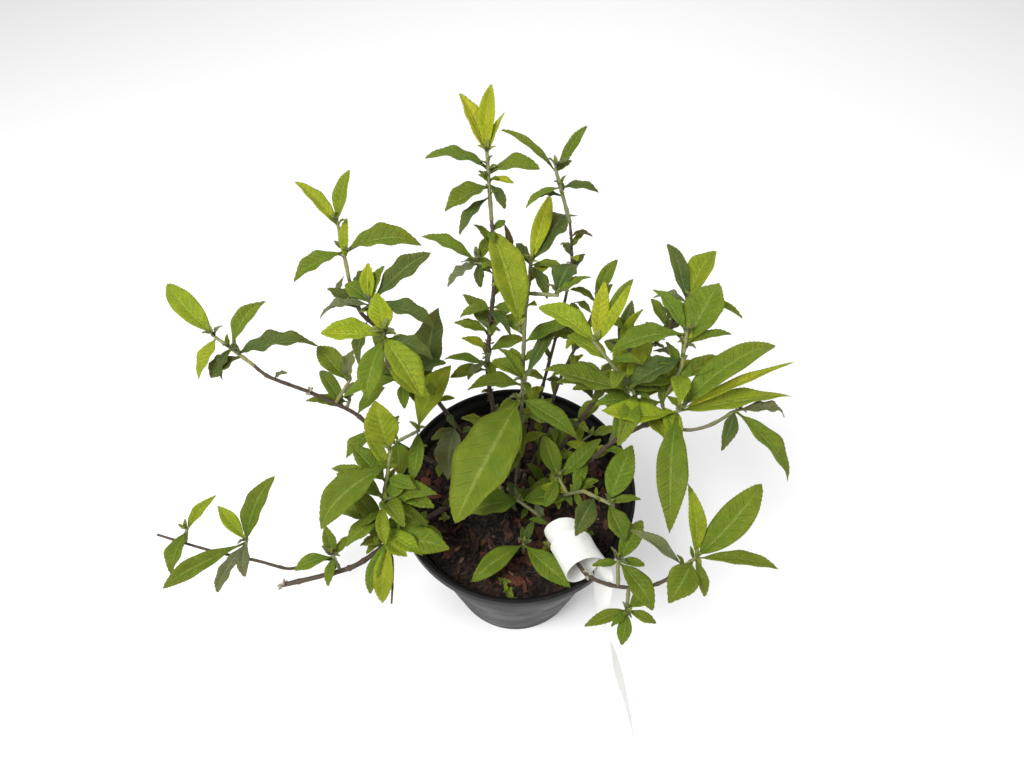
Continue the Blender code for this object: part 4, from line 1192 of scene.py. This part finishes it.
def build_roots():
    """Fine roots, fibres and twig bits that lie on the soil in loose curls."""
    rng = random.Random(43)
    shape = Shape()
    for number in range(ROOTS):
        x, y = somewhere_on_soil(rng, 0.012)
        heading = rng.uniform(0, TWO_PI)
        long_one = number % 6 == 0
        turn = rng.uniform(-0.6, 0.6) * (0.4 if long_one else 1)
        step = 0.0021 if long_one else 0.0011
        points = []
        for _ in range(rng.randrange(8, 15)):
            if math.hypot(x, y) < wall_radius(SOIL_TOP) - WALL - 0.002:
                points.append(Vector((x, y, ground(x, y) + rng.uniform(0.0002, 0.0018))))
            x += step * math.cos(heading)
            y += step * math.sin(heading)
            heading += turn + rng.uniform(-0.35, 0.35)
        if len(points) < 4:
            continue
        thick = rng.uniform(0.00035, 0.0007) if long_one else rng.uniform(0.0001, 0.00026)
        colour = blend(ROOT_BROWN, ROOT_PALE, rng.random() ** 1.8)
        route = smooth_route(points, 3)
        vertices, faces, places = tube(route, lambda along, _: thick * (1.1 - 0.6 * along), 6)
        shape.add(vertices, faces, vary(colour, rng), [(t * 8, side, 0) for t, side, _ in places])
    settle(shape.make("roots_and_fibres", CHIP), "soil")


def build_crown():
    """The woody crown: stubs of cut stems in a cushion of brown fibres."""
    rng = random.Random(44)
    shape = Shape()
    for _ in range(CROWN_STUBS):
        x = rng.gauss(CROWN_X, 0.011)
        y = rng.gauss(CROWN_Y, 0.010)
        foot = Vector((x, y, ground(x, y) - 0.003))
        lean = Vector((rng.uniform(-0.4, 0.4), rng.uniform(-0.4, 0.4), 1)).normalized()
        height = rng.uniform(0.006, 0.017)
        thick = rng.uniform(0.0009, 0.0021)
        route = smooth_route([foot, foot + lean * height * 0.5, foot + lean * height], 4)
        colours = (vary(BARK, rng), vary(BARK_GREY, rng))
        add_branch(shape, route, (thick, thick * 0.8), colours, rng, 2, 8)
    for _ in range(CROWN_FIBRES):
        x = rng.gauss(CROWN_X, 0.012)
        y = rng.gauss(CROWN_Y, 0.012)
        foot = Vector((x, y, ground(x, y) - 0.001))
        lean = any_way(rng, 0.2, 1.3)
        side = Vector((rng.uniform(-1, 1), rng.uniform(-1, 1), 0)) * 0.0025
        length = rng.uniform(0.004, 0.012)
        thick = rng.uniform(0.00012, 0.0003)
        route = smooth_route([foot, foot + lean * length * 0.5 + side, foot + lean * length], 3)
        colour = vary(blend(BARK, BARK_GREY, rng.random()), rng)
        vertices, faces, places = tube(route, lambda along, _: thick * (1.2 - along), 5)
        shape.add(vertices, faces, colour, places)
    settle(shape.make("crown_stubs", STEM), "bark")


# Where seedlings came up, in mm, and how many leaves each has
SEEDLINGS = [(-6, -72, 7), (-9, -66, 5), (-3, -77, 6), (22, -40, 5), (-52, -20, 4), (-20, 46, 4),
             (40, 30, 4), (-46, 26, 3), (50, -30, 4)]


def build_seedlings():
    """Tiny seedlings and moss-green bits that came up in the pot."""
    rng = random.Random(45)
    shape = Shape()
    for x, y, leaves in SEEDLINGS:
        x, y = x * MM, y * MM
        spot = Vector((x, y, ground(x, y) + 0.0008))
        for leaf in range(leaves):
            heading = 360 * leaf / leaves + rng.uniform(-25, 25)
            length = rng.uniform(0.0028, 0.0060)
            base = spot + Vector((0, 0, rng.uniform(0, 0.002)))
            add_leaf(shape, base, heading, rng.uniform(5, 45), length, length * 0.45,
                     rng.choice(("fresh", "bud", "green")), rng)
    settle(shape.make("seedlings", LEAF), "leaf")


# The label

def coil_stations(steps=150):
    """Middle points and width directions round the label's coil, from its inner end."""
    axis = Vector(COIL_AXIS).normalized()
    sideways = (Vector((1, 0, 0)) - axis * axis.x).normalized()
    upright = sideways.cross(axis).normalized()
    if upright.z < 0:
        upright = -upright
    stations = []
    for step in range(steps + 1):
        share = step / steps
        angle = math.radians(COIL_ANGLES[0] + (COIL_ANGLES[1] - COIL_ANGLES[0]) * share)
        radius = COIL_RADII[0] + (COIL_RADII[1] - COIL_RADII[0]) * share
        shift = COIL_SHIFT[0] + (COIL_SHIFT[1] - COIL_SHIFT[0]) * share
        round_way = sideways * math.cos(angle) + upright * math.sin(angle)
        stations.append((Vector(COIL_CENTRE) + axis * shift + round_way * radius, axis))
    return stations


def build_label():
    coil = coil_stations()
    points = [coil[-1][0]] + [Vector(point) * MM for point, _ in TAIL]
    ways = [coil[-1][1]] + [Vector(way) for _, way in TAIL]
    tail = list(zip(smooth_route(points, 12), smooth_route(ways, 12)))[1:]
    stations = coil + tail
    narrows = len(tail) * 7 // 9
    cells = 8
    vertices = []
    for index, (middle, way) in enumerate(stations):
        ahead = stations[min(index + 1, len(stations) - 1)][0] - stations[max(index - 1, 0)][0]
        across = (way - ahead * way.dot(ahead) / ahead.length_squared).normalized()
        out = ahead.cross(across).normalized()
        share = max(0.0, (index + 1 - len(stations) + narrows) / narrows)
        half = (LABEL_WIDTH + (TAIL_END_WIDTH - LABEL_WIDTH) * share) / 2
        end = min(index, len(stations) - 1 - index)
        half *= min(1.0, 0.72 + 0.07 * end)
        for face_side in (-1, 1):
            for cell in range(cells + 1):
                u = (cell / cells * 2 - 1) * face_side
                cup = 0.0007 * (1 - u * u) + 0.0003 * math.sin(index * 0.11 + u * 2)
                edge = 0.55 if abs(u) == 1 else 1.0
                vertices.append(middle + across * half * u + out * (cup + face_side * LABEL_THIN / 2 * edge))
    row = 2 * (cells + 1)
    faces = [tuple(range(row))[::-1], tuple(range(len(vertices) - row, len(vertices)))]
    faces += ring_faces(len(stations), row)
    shape = Shape()
    shape.add(vertices, faces, LABEL_WHITE)
    piece = shape.make("loop_label", FILM)
    piece.data.set_sharp_from_angle(angle=math.radians(60))
    settle(piece, "label_plastic", "plant_label")


# Floor, light and camera

def build_floor():
    size = 4.0
    mesh = bpy.data.meshes.new("floor")
    corners = [(-size, -size, 0), (size, -size, 0), (size, size, 0), (-size, size, 0)]
    mesh.from_pydata(corners, [], [(0, 1, 2, 3)])
    made, tree, shader = new_material("floor", 0.9, Specular_IOR_Level=0.1)
    shader.inputs["Base Color"].default_value = (0.94, 0.94, 0.94, 1)
    mesh.materials.append(made)
    floor = bpy.data.objects.new("floor", mesh)
    bpy.context.scene.collection.objects.link(floor)


def add_light(name, place, aim, size, power):
    data = bpy.data.lights.new(name, "AREA")
    data.shape = "DISK"
    data.size = size
    data.energy = power
    lamp = bpy.data.objects.new(name, data)
    lamp.location = place
    lamp.rotation_euler = (Vector(aim) - Vector(place)).to_track_quat("-Z", "Y").to_euler()
    bpy.context.scene.collection.objects.link(lamp)


def build_lights():
    add_light("key", (-0.6, -0.5, 1.5), (0, 0, 0.2), 0.6, 22)
    add_light("fill", (1.1, -0.3, 1.3), (0, 0, 0.2), 1.0, 5)
    add_light("back", (0.2, 1.3, 1.2), (0, 0, 0.2), 1.0, 4)
    world = bpy.data.worlds.new("studio")
    world.use_nodes = True
    world.node_tree.nodes["Background"].inputs["Color"].default_value = (1, 1, 1, 1)
    world.node_tree.nodes["Background"].inputs["Strength"].default_value = 0.56
    bpy.context.scene.world = world
    bpy.context.scene.view_settings.view_transform = "Standard"


def build_camera():
    data = bpy.data.cameras.new("camera")
    data.lens = 22.5
    data.sensor_width = 36
    camera = bpy.data.objects.new("camera", data)
    camera.location = (-0.003, -0.220, 0.566)
    camera.rotation_euler = (math.radians(37.2), 0, 0)
    bpy.context.scene.collection.objects.link(camera)
    bpy.context.scene.camera = camera


build_camera()
stems = lay_stems()
build_pot()
build_soil()
build_chips()
build_crumbs()
build_roots()
build_crown()
build_seedlings()
build_stems(stems)
build_shoots(stems)
build_axil_leaves(stems)
build_crown_sprouts()
build_felted_buds(stems)
build_old_flower(stems)
build_dried_leaves()
build_label()
build_floor()
build_lights()
